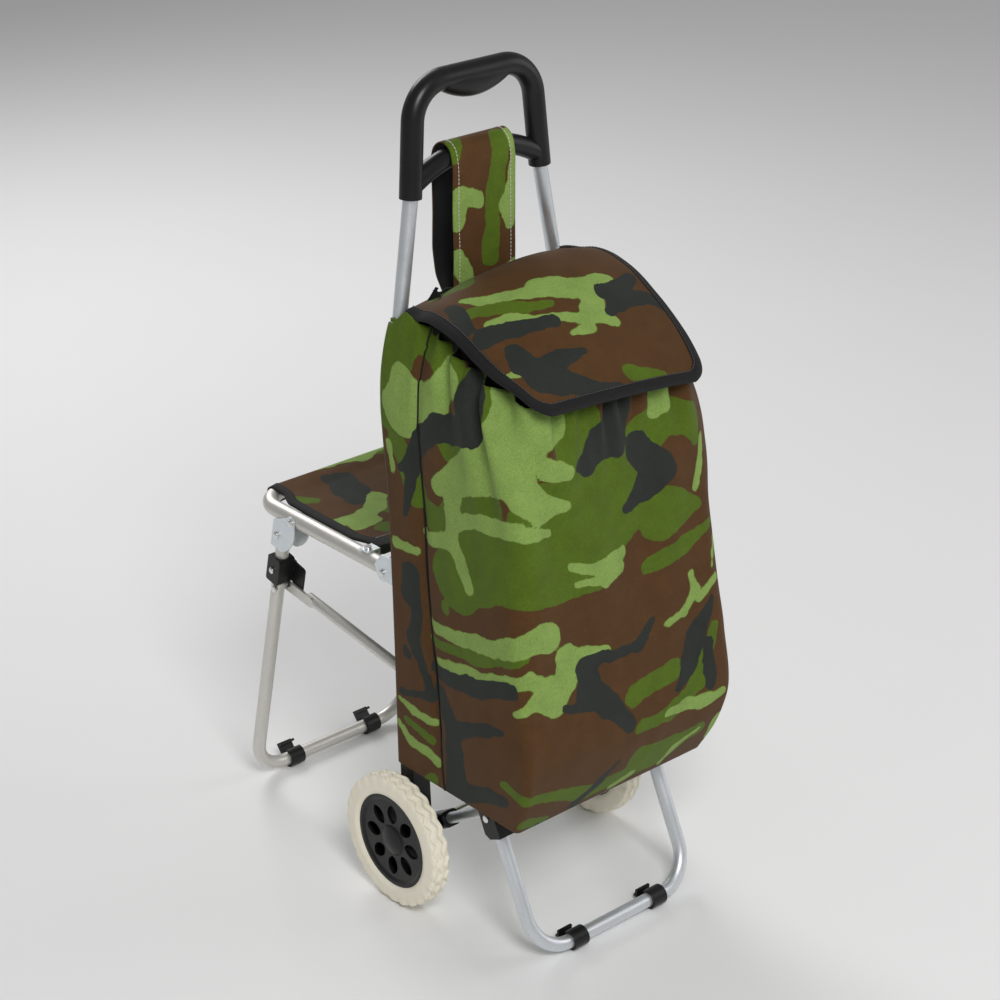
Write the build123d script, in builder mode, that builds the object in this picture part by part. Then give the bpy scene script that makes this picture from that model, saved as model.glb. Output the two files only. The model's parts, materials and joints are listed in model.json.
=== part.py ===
"""Two-wheeled shopping trolley with a fabric bag, a folding seat and a folding front foot.

Millimetres, +Z up, -Y is the front (the bag's side), +Y the back (the seat's side).  The origin is on the
floor, in the middle of the whole footprint.  Left (-X) and right (+X) are as seen from the front.
Distances along Y are given from the wheel axle and turned into Y by behind() and ahead().
"""
import os
from math import asin, atan2, cos, degrees, hypot, radians, sin

from build123d import *

# ---------------------------------------------------------------- overall sizes
front_reach = 213.0          # from the axle to the foremost surface of the front foot
back_reach = 324.0           # from the axle to the rearmost surface of the rear leg
total_height = 939.0         # top of the handle grip
side_x = 118.0               # main tubes, seat tube and rear leg, from the centre plane
tube_r = 8.0                 # main tubes and both floor U-tubes
seat_tube_r = 9.5
tube_wall = 1.2
gap = 0.3                    # between neighbours that do not fasten to each other
bore_gap = 0.1               # radial, a tube in its socket
pin_gap = 0.06               # radial, a pin in a part that turns on it
tube_sweep_r = 260.0         # bend of the main tubes where they turn inwards
screw_hole_r = 2.1

# ---------------------------------------------------------------- wheels and axle
wheel_r = 80.0
wheel_width = 24.0
wheel_outer_x = 160.0
hub_r = 56.5
hub_web = 4.0
hub_boss_r = 16.5
bush_r = 8.0
axle_r = 4.0
axle_end = 3.0               # the axle stops this far inside the wheel's outer face
washer_r = 9.0
push_nut_r = 9.5
push_nut_length = 4.0
leaf_count = 8
leaf_inner, leaf_outer, leaf_half = 21.0, 45.0, 8.0
hub_back = 2.0               # thin disc that closes the hub behind its leaves

# ---------------------------------------------------------------- frame
lean = 2.43                  # the main tubes lean back by this many degrees
splay_start = 640.0          # height at which the tubes turn inwards
handle_x = 89.0              # tubes at the handle's sleeves
sleeve_bottom = 811.0
sleeve_depth = 30.0          # how far a tube goes into its sleeve
sleeve_r = 12.0
handle_screw_up = 12.0       # screw through each sleeve, above its lower end
limb_lean_in = 10.0          # the handle's limbs come this much closer by the grip
grip_height, grip_length = 37.0, 96.0
crossbar_r = 11.0
crossbar_top = 859.0
crossbar_drop = 26.0         # the crossbar's ends are this much lower than its middle
bracket_half = 11.5          # wheel bracket, half its width along X
bracket_top = 165.0
bracket_eye_r = 17.0
shelf_r = 6.5
shelf_x = 97.0
shelf_top = 171.5            # the bag stands on the shelf tube at this height
shelf_front = 172.0          # front bar of the shelf tube, ahead of the axle

# ---------------------------------------------------------------- front foot
foot_x = 116.0
foot_pivot_ahead, foot_pivot_z = 130.0, 159.0
foot_bend = 45.0
cheek = 3.6                  # wall of the plastic foot bracket
clip_x, clip_length = 60.0, 20.0
clip_wall = 3.4
clip_tab_reach, clip_tab_height, clip_tab_thick = 9.0, 9.0, 3.0
clip_flat = 0.4              # taken off the clip's lowest point so that it stands flat

# ---------------------------------------------------------------- seat, rear leg and braces
seat_z = 392.0
seat_pivot, leg_pivot = 40.0, 205.0      # behind the axle
seat_rear_bar = 280.0
seat_bend = 34.0
seat_front_end = 10.0        # tube left in front of the seat pivot
cross_bar_behind, cross_bar_r, cross_bar_up = 79.0, 5.0, 4.0
leg_offset = 22.0            # the leg's centre line passes this far from its pivot
leg_top_gap = 18.5           # leg's top end below the pivot, along the leg
leg_bend = 46.0
plate = 1.5                  # hinge plate thickness
rivet_r, rivet_head_r, rivet_head = 2.5, 4.5, 1.8
brace_r, brace_flat = 6.5, 3.0
brace_pivot_z = 258.0
slot_half = 3.6
brace_clip_r, brace_clip_length = 10.9, 35.0
ear, ear_gap = 2.8, 0.45

# ---------------------------------------------------------------- bag
bag_wall = 2.5
bag_bottom = shelf_top + 0.5
bag_tube_gap = 1.5
mouth_back, mouth_front = 706.0, 652.0   # the mouth's rim slopes down to the front
bag_mouth_ahead = 176.0
bag_rings = (                # height, half width, front face ahead of the axle, corner radius
    (bag_bottom, 138.0, 190.0, 12.0),
    (250.0, 150.0, 212.0, 18.0),
    (480.0, 144.0, 202.0, 26.0),
    (600.0, 136.0, 186.0, 34.0),
    (730.0, 110.0, 158.0, 40.0),
)
collar_rise, collar_depth = 4.0, 12.0
flap_thick, flap_half, flap_front_half = 3.0, 127.0, 106.0
strap_half, strap_thick = 43.0, 2.0
sleeve_cloth = 2.0

# ---------------------------------------------------------------- places worked out from the sizes
axle_y = (front_reach - back_reach) / 2
axle_z = wheel_r
clip_r = tube_r + clip_wall
bar_z = clip_r - clip_flat
foot_bar_ahead = front_reach - clip_r
leg_bar_behind = back_reach - clip_r
plate_inner = side_x - seat_tube_r - gap - plate
plate_outer = side_x + seat_tube_r + gap


def behind(distance):
    """Y of a point this far behind the wheel axle."""
    return axle_y + distance


def ahead(distance):
    """Y of a point this far in front of the wheel axle."""
    return axle_y - distance


def tube_y(height):
    """Y of the main tubes' centre lines at this height."""
    return axle_y + (height - axle_z) * sin(radians(lean)) / cos(radians(lean))


def up_tube(height):
    """Distance along the leaning frame from the axle to this height."""
    return (height - axle_z) / cos(radians(lean))


def side_plane(x):
    """Sketch plane facing +X at x; its own axes are Y and Z."""
    return Plane(origin=(x, 0, 0), x_dir=(0, 1, 0), z_dir=(1, 0, 0))


def save(builder, name):
    """Label a finished piece and write its STEP file."""
    builder.part.label = name
    export_step(builder.part, f"parts/{name}.step")


def save_pair(builder, name):
    """Write the right-hand piece and its mirror image on the left."""
    save(builder, f"{name}_right")
    with BuildPart() as left:
        mirror(builder.part, about=Plane.YZ)
    save(left, f"{name}_left")


def sweep_round(path, outer, inner=0.0):
    """Round section swept along the path, hollow when inner is given, in the open part."""
    with BuildSketch(Plane(origin=path @ 0, z_dir=path % 0)) as section:
        Circle(outer)
        if inner:
            Circle(inner, mode=Mode.SUBTRACT)
    sweep(sections=section.sketch, path=path)


def swept(path, radius):
    """A round bar along the path, as a separate solid for cutting."""
    with BuildPart() as bar:
        sweep_round(path, radius)
    return bar.part


def x_pin(x_from, x_to, y, z, radius):
    """Cylinder along X between two x values, as a separate solid."""
    with BuildPart() as pin:
        with BuildSketch(side_plane(x_from)):
            with Locations((y, z)):
                Circle(radius)
        extrude(amount=x_to - x_from)
    return pin.part


def rivet(x_head, x_tail, y, z, radius=rivet_r):
    """Rivet along X with a domed head at each end."""
    with BuildPart() as body:
        add(x_pin(x_head, x_tail, y, z, radius))
        for x, way in ((x_head, 1), (x_tail, -1)):
            direction = way * (1 if x_head > x_tail else -1)
            add(x_pin(x, x + direction * rivet_head, y, z, rivet_head_r))
    return body.part


frame_plane = Plane(
    origin=(0, axle_y, axle_z), x_dir=(1, 0, 0),
    z_dir=(0, -cos(radians(lean)), sin(radians(lean))),
)
os.makedirs("parts", exist_ok=True)

# ---------------------------------------------------------------- main tubes
handle_slope = (side_x - handle_x) / (up_tube(sleeve_bottom) - up_tube(splay_start))
tube_low = up_tube(axle_z + bracket_eye_r)
tube_high = up_tube(sleeve_bottom) + sleeve_depth
tube_high_x = side_x - handle_slope * (tube_high - up_tube(splay_start))
limb_v = up_tube(sleeve_bottom)
with BuildLine(frame_plane) as tube_route:
    FilletPolyline(
        (side_x, tube_low), (side_x, up_tube(splay_start)), (tube_high_x, tube_high),
        radius=tube_sweep_r,
    )
tube_path = tube_route.line
brace_pivot_y = tube_y(brace_pivot_z)
hinge_screw_y, hinge_screw_z = tube_y(seat_z + 12), seat_z + 12
with BuildPart() as main_tube:
    sweep_round(tube_path, tube_r, tube_r - tube_wall)
    for y, z in ((brace_pivot_y, brace_pivot_z), (hinge_screw_y, hinge_screw_z)):
        add(x_pin(side_x - 20, side_x + 20, y, z, rivet_r + pin_gap), mode=Mode.SUBTRACT)
    with BuildSketch(frame_plane.offset(-20)):
        with Locations((handle_x - handle_slope * handle_screw_up, limb_v + handle_screw_up)):
            Circle(screw_hole_r)
    extrude(amount=20, mode=Mode.SUBTRACT)
save_pair(main_tube, "main_tube")

# ---------------------------------------------------------------- handle
hoop_v = up_tube(total_height) - sleeve_r
crossbar_v = up_tube(crossbar_top) - crossbar_r
limb_top_x = handle_x - limb_lean_in
with BuildLine(frame_plane) as hoop_route:
    FilletPolyline(
        (handle_x, limb_v), (limb_top_x, hoop_v), (-limb_top_x, hoop_v), (-handle_x, limb_v),
        radius=42,
    )
with BuildLine(frame_plane) as crossbar_route:
    ThreePointArc(
        (-handle_x, crossbar_v - crossbar_drop), (0, crossbar_v),
        (handle_x, crossbar_v - crossbar_drop),
    )
with BuildPart() as handle:
    sweep_round(hoop_route.line, sleeve_r)
    sweep_round(crossbar_route.line, crossbar_r)
    grip_plane = Plane(
        origin=frame_plane.from_local_coords((0, hoop_v, 0)), x_dir=frame_plane.y_dir,
        z_dir=(1, 0, 0),
    )
    grip_end_r, grip_sink = sleeve_r - 3, sleeve_r - 0.3 - grip_height / 2
    for shift, half_height, half_width, rise in (
        (-grip_length / 2, grip_end_r, grip_end_r, -1.5),
        (0, grip_height / 2, sleeve_r + 0.4, grip_sink),
        (grip_length / 2, grip_end_r, grip_end_r, -1.5),
    ):
        with BuildSketch(grip_plane.offset(shift)):
            with Locations((rise, 0)):
                Ellipse(half_height, half_width)
    loft()
    for way in (1, -1):
        with BuildLine(frame_plane) as bore_route:
            Line(
                (way * (handle_x + handle_slope * 4), limb_v - 4),
                (way * (handle_x - handle_slope * sleeve_depth), limb_v + sleeve_depth),
            )
        add(swept(bore_route.line, tube_r + bore_gap), mode=Mode.SUBTRACT)
        with BuildSketch(frame_plane.offset(-20)):
            with Locations((way * (handle_x - handle_slope * handle_screw_up), limb_v + handle_screw_up)):
                Circle(screw_hole_r)
        extrude(amount=20, mode=Mode.SUBTRACT)
save(handle, "handle")

with BuildPart() as handle_screws:
    for way in (1, -1):
        spot = (way * (handle_x - handle_slope * handle_screw_up), limb_v + handle_screw_up)
        with BuildSketch(frame_plane.offset(-sleeve_r - 1.6)):
            with Locations(spot):
                Circle(3.6)
        extrude(amount=1.6)
        with BuildSketch(frame_plane.offset(-sleeve_r)):
            with Locations(spot):
                Circle(2.0)
        extrude(amount=8)
save(handle_screws, "handle_screws")

# ---------------------------------------------------------------- shelf tube under the bag
shelf_z = shelf_top - shelf_r
shelf_kink = 135.0           # where the arms level off, ahead of the axle
arm_start = 12.0
arm_angle = atan2(shelf_z - axle_z, shelf_kink)
arm_points = [(shelf_x, ahead(arm_start), axle_z + arm_start * sin(arm_angle) / cos(arm_angle))]
arm_points += [(shelf_x, ahead(shelf_kink), shelf_z), (shelf_x, ahead(shelf_front), shelf_z)]
arm_points += [(-x, y, z) for x, y, z in reversed(arm_points)]
with BuildLine() as shelf_route:
    FilletPolyline(arm_points, radius=[40, 24, 24, 40])
with BuildPart() as shelf_tube:
    sweep_round(shelf_route.line, shelf_r, shelf_r - tube_wall)
save(shelf_tube, "shelf_tube")

# ---------------------------------------------------------------- wheel brackets and axle
bracket_in, bracket_out = side_x - bracket_half, side_x + bracket_half
lug_length = 34.0
with BuildPart() as wheel_bracket:
    with BuildSketch(side_plane(bracket_in)):
        with Locations((axle_y, axle_z)):
            Circle(bracket_eye_r)
        with BuildLine():
            Polyline(
                (axle_y - tube_r - 4, axle_z), (axle_y + tube_r + 5, axle_z),
                (tube_y(bracket_top) + tube_r + 3, bracket_top),
                (tube_y(bracket_top) - tube_r - 3, bracket_top), close=True,
            )
        make_face()
    extrude(amount=bracket_out - bracket_in)
    fillet(wheel_bracket.edges().filter_by(Axis.X), radius=2)
    lug_plane = Plane(
        origin=(shelf_x, ahead(0), axle_z), x_dir=(1, 0, 0),
        z_dir=(0, -cos(arm_angle), sin(arm_angle)),
    )
    with BuildSketch(lug_plane.offset(5)):
        RectangleRounded(2 * (bracket_in - shelf_x) + 4, 2 * shelf_r + 6, 6)
    extrude(amount=lug_length)
    add(swept(shelf_route.line, shelf_r + bore_gap), mode=Mode.SUBTRACT)
    add(swept(tube_path, tube_r + bore_gap), mode=Mode.SUBTRACT)
    add(x_pin(60, 150, axle_y, axle_z, axle_r + bore_gap), mode=Mode.SUBTRACT)
save_pair(wheel_bracket, "wheel_bracket")

axle_half = wheel_outer_x - axle_end - 2
with BuildPart() as axle_rod:
    add(x_pin(-axle_half, axle_half, axle_y, axle_z, axle_r))
    chamfer(axle_rod.edges().filter_by(GeomType.CIRCLE), length=0.8)
save(axle_rod, "axle_rod")

washer_in = bracket_out + gap
boss_in = wheel_outer_x - wheel_width - 2
with BuildPart() as axle_washers:
    with BuildSketch(side_plane(washer_in)):
        with Locations((axle_y, axle_z)):
            Circle(washer_r)
            Circle(axle_r + bore_gap, mode=Mode.SUBTRACT)
    extrude(amount=boss_in - gap - washer_in)
    mirror(about=Plane.YZ)
save(axle_washers, "axle_washers")

nut_out = axle_half - 1
with BuildPart() as push_nuts:
    with BuildSketch(side_plane(nut_out - push_nut_length)):
        with Locations((axle_y, axle_z)):
            Circle(push_nut_r)
            Circle(axle_r + bore_gap, mode=Mode.SUBTRACT)
    extrude(amount=push_nut_length)
    mirror(about=Plane.YZ)
save(push_nuts, "push_nuts")

# ---------------------------------------------------------------- wheels
wheel_section = Plane(origin=(0, axle_y, axle_z), x_dir=(1, 0, 0), z_dir=(0, -1, 0))
wheel_axis = Axis((0, axle_y, axle_z), (1, 0, 0))
wheel_in = wheel_outer_x - wheel_width
with BuildPart() as tyre:
    with BuildSketch(wheel_section):
        with BuildLine():
            Polyline((wheel_in + 2, hub_r), (wheel_outer_x - 2, hub_r))
            Line((wheel_outer_x - 2, hub_r), (wheel_outer_x, hub_r + 4))
            Line((wheel_outer_x, hub_r + 4), (wheel_outer_x - 1, wheel_r - 7))
            ThreePointArc(
                (wheel_outer_x - 1, wheel_r - 7), (wheel_outer_x - wheel_width / 2, wheel_r),
                (wheel_in + 1, wheel_r - 7),
            )
            Line((wheel_in + 1, wheel_r - 7), (wheel_in, hub_r + 4))
            Line((wheel_in, hub_r + 4), (wheel_in + 2, hub_r))
        make_face()
    revolve(axis=wheel_axis)
save_pair(tyre, "tyre")

leaf_middle = (leaf_inner + leaf_outer) / 2 - 2
with BuildSketch() as leaf:
    with BuildLine():
        ThreePointArc((leaf_inner, 0), (leaf_middle, leaf_half), (leaf_outer, 0))
        ThreePointArc((leaf_outer, 0), (leaf_middle, -leaf_half), (leaf_inner, 0))
    make_face()

rim_in, rim_out = wheel_in + 3, wheel_outer_x - 3
web_in = wheel_outer_x - 9
cap_seat_r = push_nut_r + 1.5
nut_room = nut_out - push_nut_length - gap
with BuildPart() as hub:
    with BuildSketch(wheel_section):
        with BuildLine():
            Polyline(
                (boss_in, bush_r + bore_gap), (nut_room, bush_r + bore_gap),
                (nut_room, cap_seat_r), (wheel_outer_x - 3, cap_seat_r),
                (wheel_outer_x - 3, hub_boss_r), (web_in + hub_web, hub_boss_r + 2),
                (web_in + hub_web, hub_r - 8), (rim_out, hub_r - 4),
                (rim_out, hub_r - bore_gap),
                (rim_in, hub_r - bore_gap), (rim_in, hub_r - 4), (web_in, hub_r - 6),
                (web_in, hub_boss_r), (boss_in, hub_boss_r - 3), close=True,
            )
        make_face()
        with BuildLine():
            Polyline(
                (rim_in, bush_r + 3), (rim_in + hub_back, bush_r + 3), (rim_in + hub_back, hub_r - 2),
                (rim_in, hub_r - 2), close=True,
            )
        make_face()
    revolve(axis=wheel_axis)
    with BuildSketch(side_plane(web_in - 1)):
        with Locations((axle_y, axle_z)):
            with PolarLocations(0, leaf_count):
                add(leaf.sketch)
    extrude(amount=hub_web + 2, mode=Mode.SUBTRACT)
save_pair(hub, "hub")

with BuildPart() as wheel_bush:
    with BuildSketch(side_plane(boss_in)):
        with Locations((axle_y, axle_z)):
            Circle(bush_r)
            Circle(axle_r + pin_gap, mode=Mode.SUBTRACT)
    extrude(amount=nut_room - boss_in)
save_pair(wheel_bush, "wheel_bush")

cap_rise = 3.0
cap_rim = wheel_outer_x - cap_rise
cap_r = hub_boss_r - 0.5
cap_flat_r = 1.5             # small flat in the middle of the dome
dome_r = (cap_r ** 2 + cap_rise ** 2) / (2 * cap_rise)
dome_middle = wheel_outer_x - dome_r + (dome_r ** 2 - cap_r ** 2 / 4) ** 0.5
with BuildPart() as wheel_cap:
    with BuildSketch(wheel_section):
        with BuildLine():
            Polyline(
                (cap_rim + 0.05, cap_r), (cap_rim + 0.05, 0), (wheel_outer_x, 0),
                (wheel_outer_x, cap_flat_r),
            )
            ThreePointArc(
                (wheel_outer_x, cap_flat_r), (dome_middle, cap_r / 2), (cap_rim + 0.05, cap_r)
            )
        make_face()
    revolve(axis=wheel_axis)
save_pair(wheel_cap, "wheel_cap")

# ---------------------------------------------------------------- floor clips, used on both U-tubes
def floor_clips(y, z, opening):
    """Two clips round a floor bar, each a saddle with a tab; opening is the saddle's free side."""
    with BuildPart() as clips:
        for x in (clip_x, -clip_x):
            with BuildSketch(side_plane(x - clip_length / 2)):
                with Locations((y, z)):
                    Circle(clip_r)
                    Circle(tube_r + bore_gap, mode=Mode.SUBTRACT)
                mouth = Location((y, z), opening)
                with Locations(mouth):
                    with Locations((clip_r / 2 + 4, 0)):
                        Rectangle(clip_r, 12, mode=Mode.SUBTRACT)
                    with Locations((clip_r / 2 + 3, -8.5)):
                        Rectangle(clip_r + 6 + clip_tab_reach, 2.6)
                    with Locations((clip_r + clip_tab_reach - 1.5, -4.5)):
                        Rectangle(clip_tab_thick, clip_tab_height)
            extrude(amount=clip_length)
        with Locations((0, y, -10)):
            Box(400, 60, 20, mode=Mode.SUBTRACT)
        add(x_pin(-100, 100, y, z, tube_r + bore_gap), mode=Mode.SUBTRACT)
    return clips


# ---------------------------------------------------------------- front foot and its brackets
foot_y = ahead(foot_pivot_ahead)
foot_tilt = atan2(foot_bar_ahead - foot_pivot_ahead, foot_pivot_z - bar_z)
foot_length = hypot(foot_bar_ahead - foot_pivot_ahead, foot_pivot_z - bar_z)
foot_end = rivet_r + 1       # the tube's ends pass the pivot by this much
foot_plane = Plane(
    origin=(0, foot_y, foot_pivot_z), x_dir=(1, 0, 0), z_dir=(0, -cos(foot_tilt), sin(foot_tilt))
)
foot_side = Plane(
    origin=(0, foot_y, foot_pivot_z), x_dir=(0, cos(foot_tilt), -sin(foot_tilt)), z_dir=(1, 0, 0)
)
with BuildLine(foot_plane) as foot_route:
    FilletPolyline(
        (foot_x, foot_end), (foot_x, -foot_length), (-foot_x, -foot_length), (-foot_x, foot_end),
        radius=foot_bend,
    )
with BuildPart() as front_foot_tube:
    sweep_round(foot_route.line, tube_r, tube_r - tube_wall)
    for x in (foot_x, -foot_x):
        add(x_pin(x - 20, x + 20, foot_y, foot_pivot_z, rivet_r + pin_gap), mode=Mode.SUBTRACT)
save(front_foot_tube, "front_foot_tube")

front_foot_clips = floor_clips(ahead(foot_bar_ahead), bar_z, 10)
save(front_foot_clips, "front_foot_clips")

cheek_gap = 0.5
cheek_in, cheek_out = foot_x - tube_r - cheek_gap, foot_x + tube_r + cheek_gap
foot_down = 24.0             # the bracket reaches this far down the leg
web_front = hypot(foot_end, tube_r) + cheek_gap      # room for the square end to turn
with BuildPart() as foot_bracket:
    with BuildSketch(foot_side.offset(shelf_x - shelf_r - 3.5)):
        with Locations((-1, -2)):
            RectangleRounded(2 * web_front + 2 * cheek - 2, 30, 4)
    extrude(amount=cheek_in - (shelf_x - shelf_r - 3.5))
    with BuildSketch(foot_side.offset(cheek_in - 1)):
        with BuildLine():
            Polyline(
                (-web_front - cheek, -foot_down), (-web_front - cheek, 12),
                (web_front + 2, 12), (web_front + 2, -foot_down + 6), (web_front - 4, -foot_down),
                close=True,
            )
        make_face()
    extrude(amount=cheek_out + cheek - cheek_in + 1)
    with BuildSketch(foot_side.offset(cheek_in)):
        with Locations((30 - web_front, -40 + web_front)):
            Rectangle(60, 80)
    extrude(amount=cheek_out - cheek_in, mode=Mode.SUBTRACT)
    with Locations((shelf_x, foot_y, shelf_top + 10)):
        Box(100, 100, 20, mode=Mode.SUBTRACT)
    add(swept(shelf_route.line, shelf_r + bore_gap), mode=Mode.SUBTRACT)
    add(
        x_pin(cheek_in - cheek, cheek_out + cheek, foot_y, foot_pivot_z, rivet_r + bore_gap),
        mode=Mode.SUBTRACT,
    )
save_pair(foot_bracket, "foot_bracket")

with BuildPart() as foot_rivets:
    add(x_pin(cheek_in - cheek + 0.2, cheek_out + cheek, foot_y, foot_pivot_z, rivet_r))
    add(
        x_pin(
            cheek_out + cheek, cheek_out + cheek + rivet_head, foot_y, foot_pivot_z, rivet_head_r
        )
    )
    mirror(about=Plane.YZ)
save(foot_rivets, "foot_rivets")

# ---------------------------------------------------------------- seat hinge on the main tubes
pivot_y = behind(seat_pivot)
with BuildPart() as seat_hinge_plates:
    for x in (plate_inner, plate_outer):
        with BuildSketch(side_plane(x)):
            with BuildLine():
                Polyline(
                    (hinge_screw_y - 7, hinge_screw_z - 22), (pivot_y + 4, seat_z - 8),
                    (pivot_y + 14, seat_z + 6), (pivot_y + 2, hinge_screw_z + 10),
                    (hinge_screw_y - 7, hinge_screw_z + 10), close=True,
                )
            make_face()
            with Locations((pivot_y, seat_z)):
                Circle(10)
            with Locations((pivot_y, seat_z), (hinge_screw_y, hinge_screw_z)):
                Circle(rivet_r + bore_gap, mode=Mode.SUBTRACT)
        extrude(amount=plate)
    fillet(seat_hinge_plates.edges().filter_by(Axis.X).sort_by(Axis.Z)[-4:], radius=4)
save_pair(seat_hinge_plates, "seat_hinge_plates")

hinge_out = plate_outer + plate
with BuildPart() as seat_hinge_rivets:
    for y, z in ((pivot_y, seat_z), (hinge_screw_y, hinge_screw_z)):
        add(rivet(hinge_out, plate_inner, y, z))
    mirror(about=Plane.YZ)
save(seat_hinge_rivets, "seat_hinge_rivets")

# ---------------------------------------------------------------- seat frame
with BuildLine() as seat_route:
    FilletPolyline(
        (side_x, behind(seat_pivot - seat_front_end), seat_z), (side_x, behind(seat_rear_bar), seat_z),
        (-side_x, behind(seat_rear_bar), seat_z),
        (-side_x, behind(seat_pivot - seat_front_end), seat_z), radius=seat_bend,
    )
bar_y, cross_z = behind(cross_bar_behind), seat_z + cross_bar_up
with BuildPart() as seat_tube:
    sweep_round(seat_route.line, seat_tube_r, seat_tube_r - tube_wall)
    for way in (1, -1):
        for y in (pivot_y, behind(leg_pivot)):
            add(
                x_pin(way * (side_x - 20), way * (side_x + 20), y, seat_z, rivet_r + pin_gap),
                mode=Mode.SUBTRACT,
            )
    with Locations((side_x, bar_y, seat_z), (-side_x, bar_y, seat_z)):
        Cylinder(screw_hole_r, 40, mode=Mode.SUBTRACT)
save(seat_tube, "seat_tube")

flange_in = plate_inner + 0.1
cross_reach = flange_in - 0.1
with BuildPart() as seat_cross_bar:
    add(x_pin(-cross_reach, cross_reach, bar_y, cross_z, cross_bar_r))
save(seat_cross_bar, "seat_cross_bar")

bracket_plate, bracket_width = 2.0, 15.0
tab_z = seat_z + seat_tube_r + 0.1
with BuildPart() as seat_bar_brackets:
    with BuildSketch(Plane.XZ.offset(-bar_y - bracket_width / 2)):
        with BuildLine():
            Polyline(
                (flange_in, cross_z - cross_bar_r - 3), (flange_in, tab_z + bracket_plate),
                (side_x + 6, tab_z + bracket_plate), (side_x + 6, tab_z),
                (flange_in + plate, tab_z), (flange_in + plate, cross_z - cross_bar_r - 3),
                close=True,
            )
        make_face()
    extrude(amount=bracket_width)
    with Locations((side_x, bar_y, tab_z)):
        Cylinder(screw_hole_r, 20, mode=Mode.SUBTRACT)
    mirror(about=Plane.YZ)
save(seat_bar_brackets, "seat_bar_brackets")

with BuildPart() as seat_bar_bolts:
    for x in (side_x, -side_x):
        with Locations((x, bar_y, tab_z + bracket_plate + 1.5)):
            Cylinder(4.2, 3)
        with Locations((x, bar_y, tab_z - 6)):
            Cylinder(2.0, 20)
save(seat_bar_bolts, "seat_bar_bolts")

# ---------------------------------------------------------------- seat cloth, a sling over both bars
cloth = 2.2
cloth_half = plate_inner - 0.5
loop_half = side_x - seat_tube_r - seat_bend - 1
rear_y = behind(seat_rear_bar)
front_loop, rear_loop = cross_bar_r + gap, seat_tube_r + gap
with BuildPart() as seat_cloth:
    with BuildSketch(side_plane(-loop_half)):
        with Locations((rear_y, seat_z)):
            Circle(rear_loop + cloth)
            Circle(rear_loop, mode=Mode.SUBTRACT)
    extrude(amount=2 * loop_half)
    with BuildSketch(side_plane(-cloth_half)):
        with Locations((bar_y, cross_z)):
            Circle(front_loop + cloth)
            Circle(front_loop, mode=Mode.SUBTRACT)
    extrude(amount=2 * cloth_half)
    with BuildSketch(side_plane(-cloth_half)):
        with BuildLine():
            Polyline(
                (bar_y, cross_z + front_loop), (rear_y - seat_bend - 4, seat_z + rear_loop),
                (rear_y - seat_bend - 4, seat_z + rear_loop + cloth),
                (bar_y, cross_z + front_loop + cloth), close=True,
            )
        make_face()
    extrude(amount=2 * cloth_half)
    with BuildSketch(side_plane(-loop_half)):
        with Locations(((2 * rear_y - seat_bend - 5) / 2, seat_z + rear_loop + cloth / 2)):
            Rectangle(seat_bend + 5, cloth)
    extrude(amount=2 * loop_half)
save(seat_cloth, "seat_cloth")

# ---------------------------------------------------------------- rear leg
hip_y = behind(leg_pivot)
leg_drop, leg_run = seat_z - bar_z, leg_bar_behind - leg_pivot
leg_tilt = atan2(leg_run, leg_drop) - asin(leg_offset / hypot(leg_run, leg_drop))
leg_length = (leg_drop + leg_offset * sin(leg_tilt)) / cos(leg_tilt)
leg_origin = (0, hip_y + leg_offset * cos(leg_tilt), seat_z + leg_offset * sin(leg_tilt))
leg_plane = Plane(
    origin=leg_origin, x_dir=(1, 0, 0), z_dir=(0, -cos(leg_tilt), -sin(leg_tilt))
)
leg_side = Plane(
    origin=leg_origin, x_dir=(0, cos(leg_tilt), sin(leg_tilt)), z_dir=(1, 0, 0)
)


def on_leg(down, across=0.0):
    """Y and Z of a point this far down the rear leg and this far behind its centre line."""
    spot = leg_side.from_local_coords((across, -down, 0))
    return spot.Y, spot.Z


with BuildLine(leg_plane) as leg_route:
    FilletPolyline(
        (side_x, -leg_top_gap), (side_x, -leg_length), (-side_x, -leg_length),
        (-side_x, -leg_top_gap), radius=leg_bend,
    )
plate_rivet = 31.0           # down the leg from the pivot's level
peg_down = 106.5
peg_y, peg_height = on_leg(peg_down, -4.0)
clip_screw = 81.0
with BuildPart() as rear_leg_tube:
    sweep_round(leg_route.line, tube_r, tube_r - tube_wall)
    for way in (1, -1):
        for (y, z), hole in (
            (on_leg(plate_rivet), rivet_r + bore_gap), ((peg_y, peg_height), rivet_r + bore_gap),
        ):
            add(x_pin(way * (side_x - 20), way * (side_x + 20), y, z, hole), mode=Mode.SUBTRACT)
        y, z = on_leg(clip_screw)
        add(x_pin(way * side_x, way * (side_x + 20), y, z, screw_hole_r), mode=Mode.SUBTRACT)
save(rear_leg_tube, "rear_leg_tube")
rear_leg_clips = floor_clips(behind(leg_bar_behind), bar_z, 50)
save(rear_leg_clips, "rear_leg_clips")

with BuildPart() as leg_hinge_plates:
    for x in (plate_inner, plate_outer):
        with BuildSketch(leg_side.offset(x)):
            with BuildLine():
                Polyline(
                    (tube_r + 0.5, -13), (tube_r + 0.5, -48), (-tube_r - 2, -48), close=False
                )
                ThreePointArc((-tube_r - 2, -48), (-28, -28), (-leg_offset - 6, 0))
                ThreePointArc((-leg_offset - 6, 0), (-leg_offset, 7), (-leg_offset + 7, 3))
                Line((-leg_offset + 7, 3), (tube_r + 0.5, -13))
            make_face()
            with Locations((-leg_offset, 0), (0, -plate_rivet)):
                Circle(rivet_r + pin_gap, mode=Mode.SUBTRACT)
        extrude(amount=plate)
save_pair(leg_hinge_plates, "leg_hinge_plates")

with BuildPart() as leg_pivot_rivets:
    add(rivet(hinge_out, plate_inner, hip_y, seat_z))
    mirror(about=Plane.YZ)
save(leg_pivot_rivets, "leg_pivot_rivets")

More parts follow.
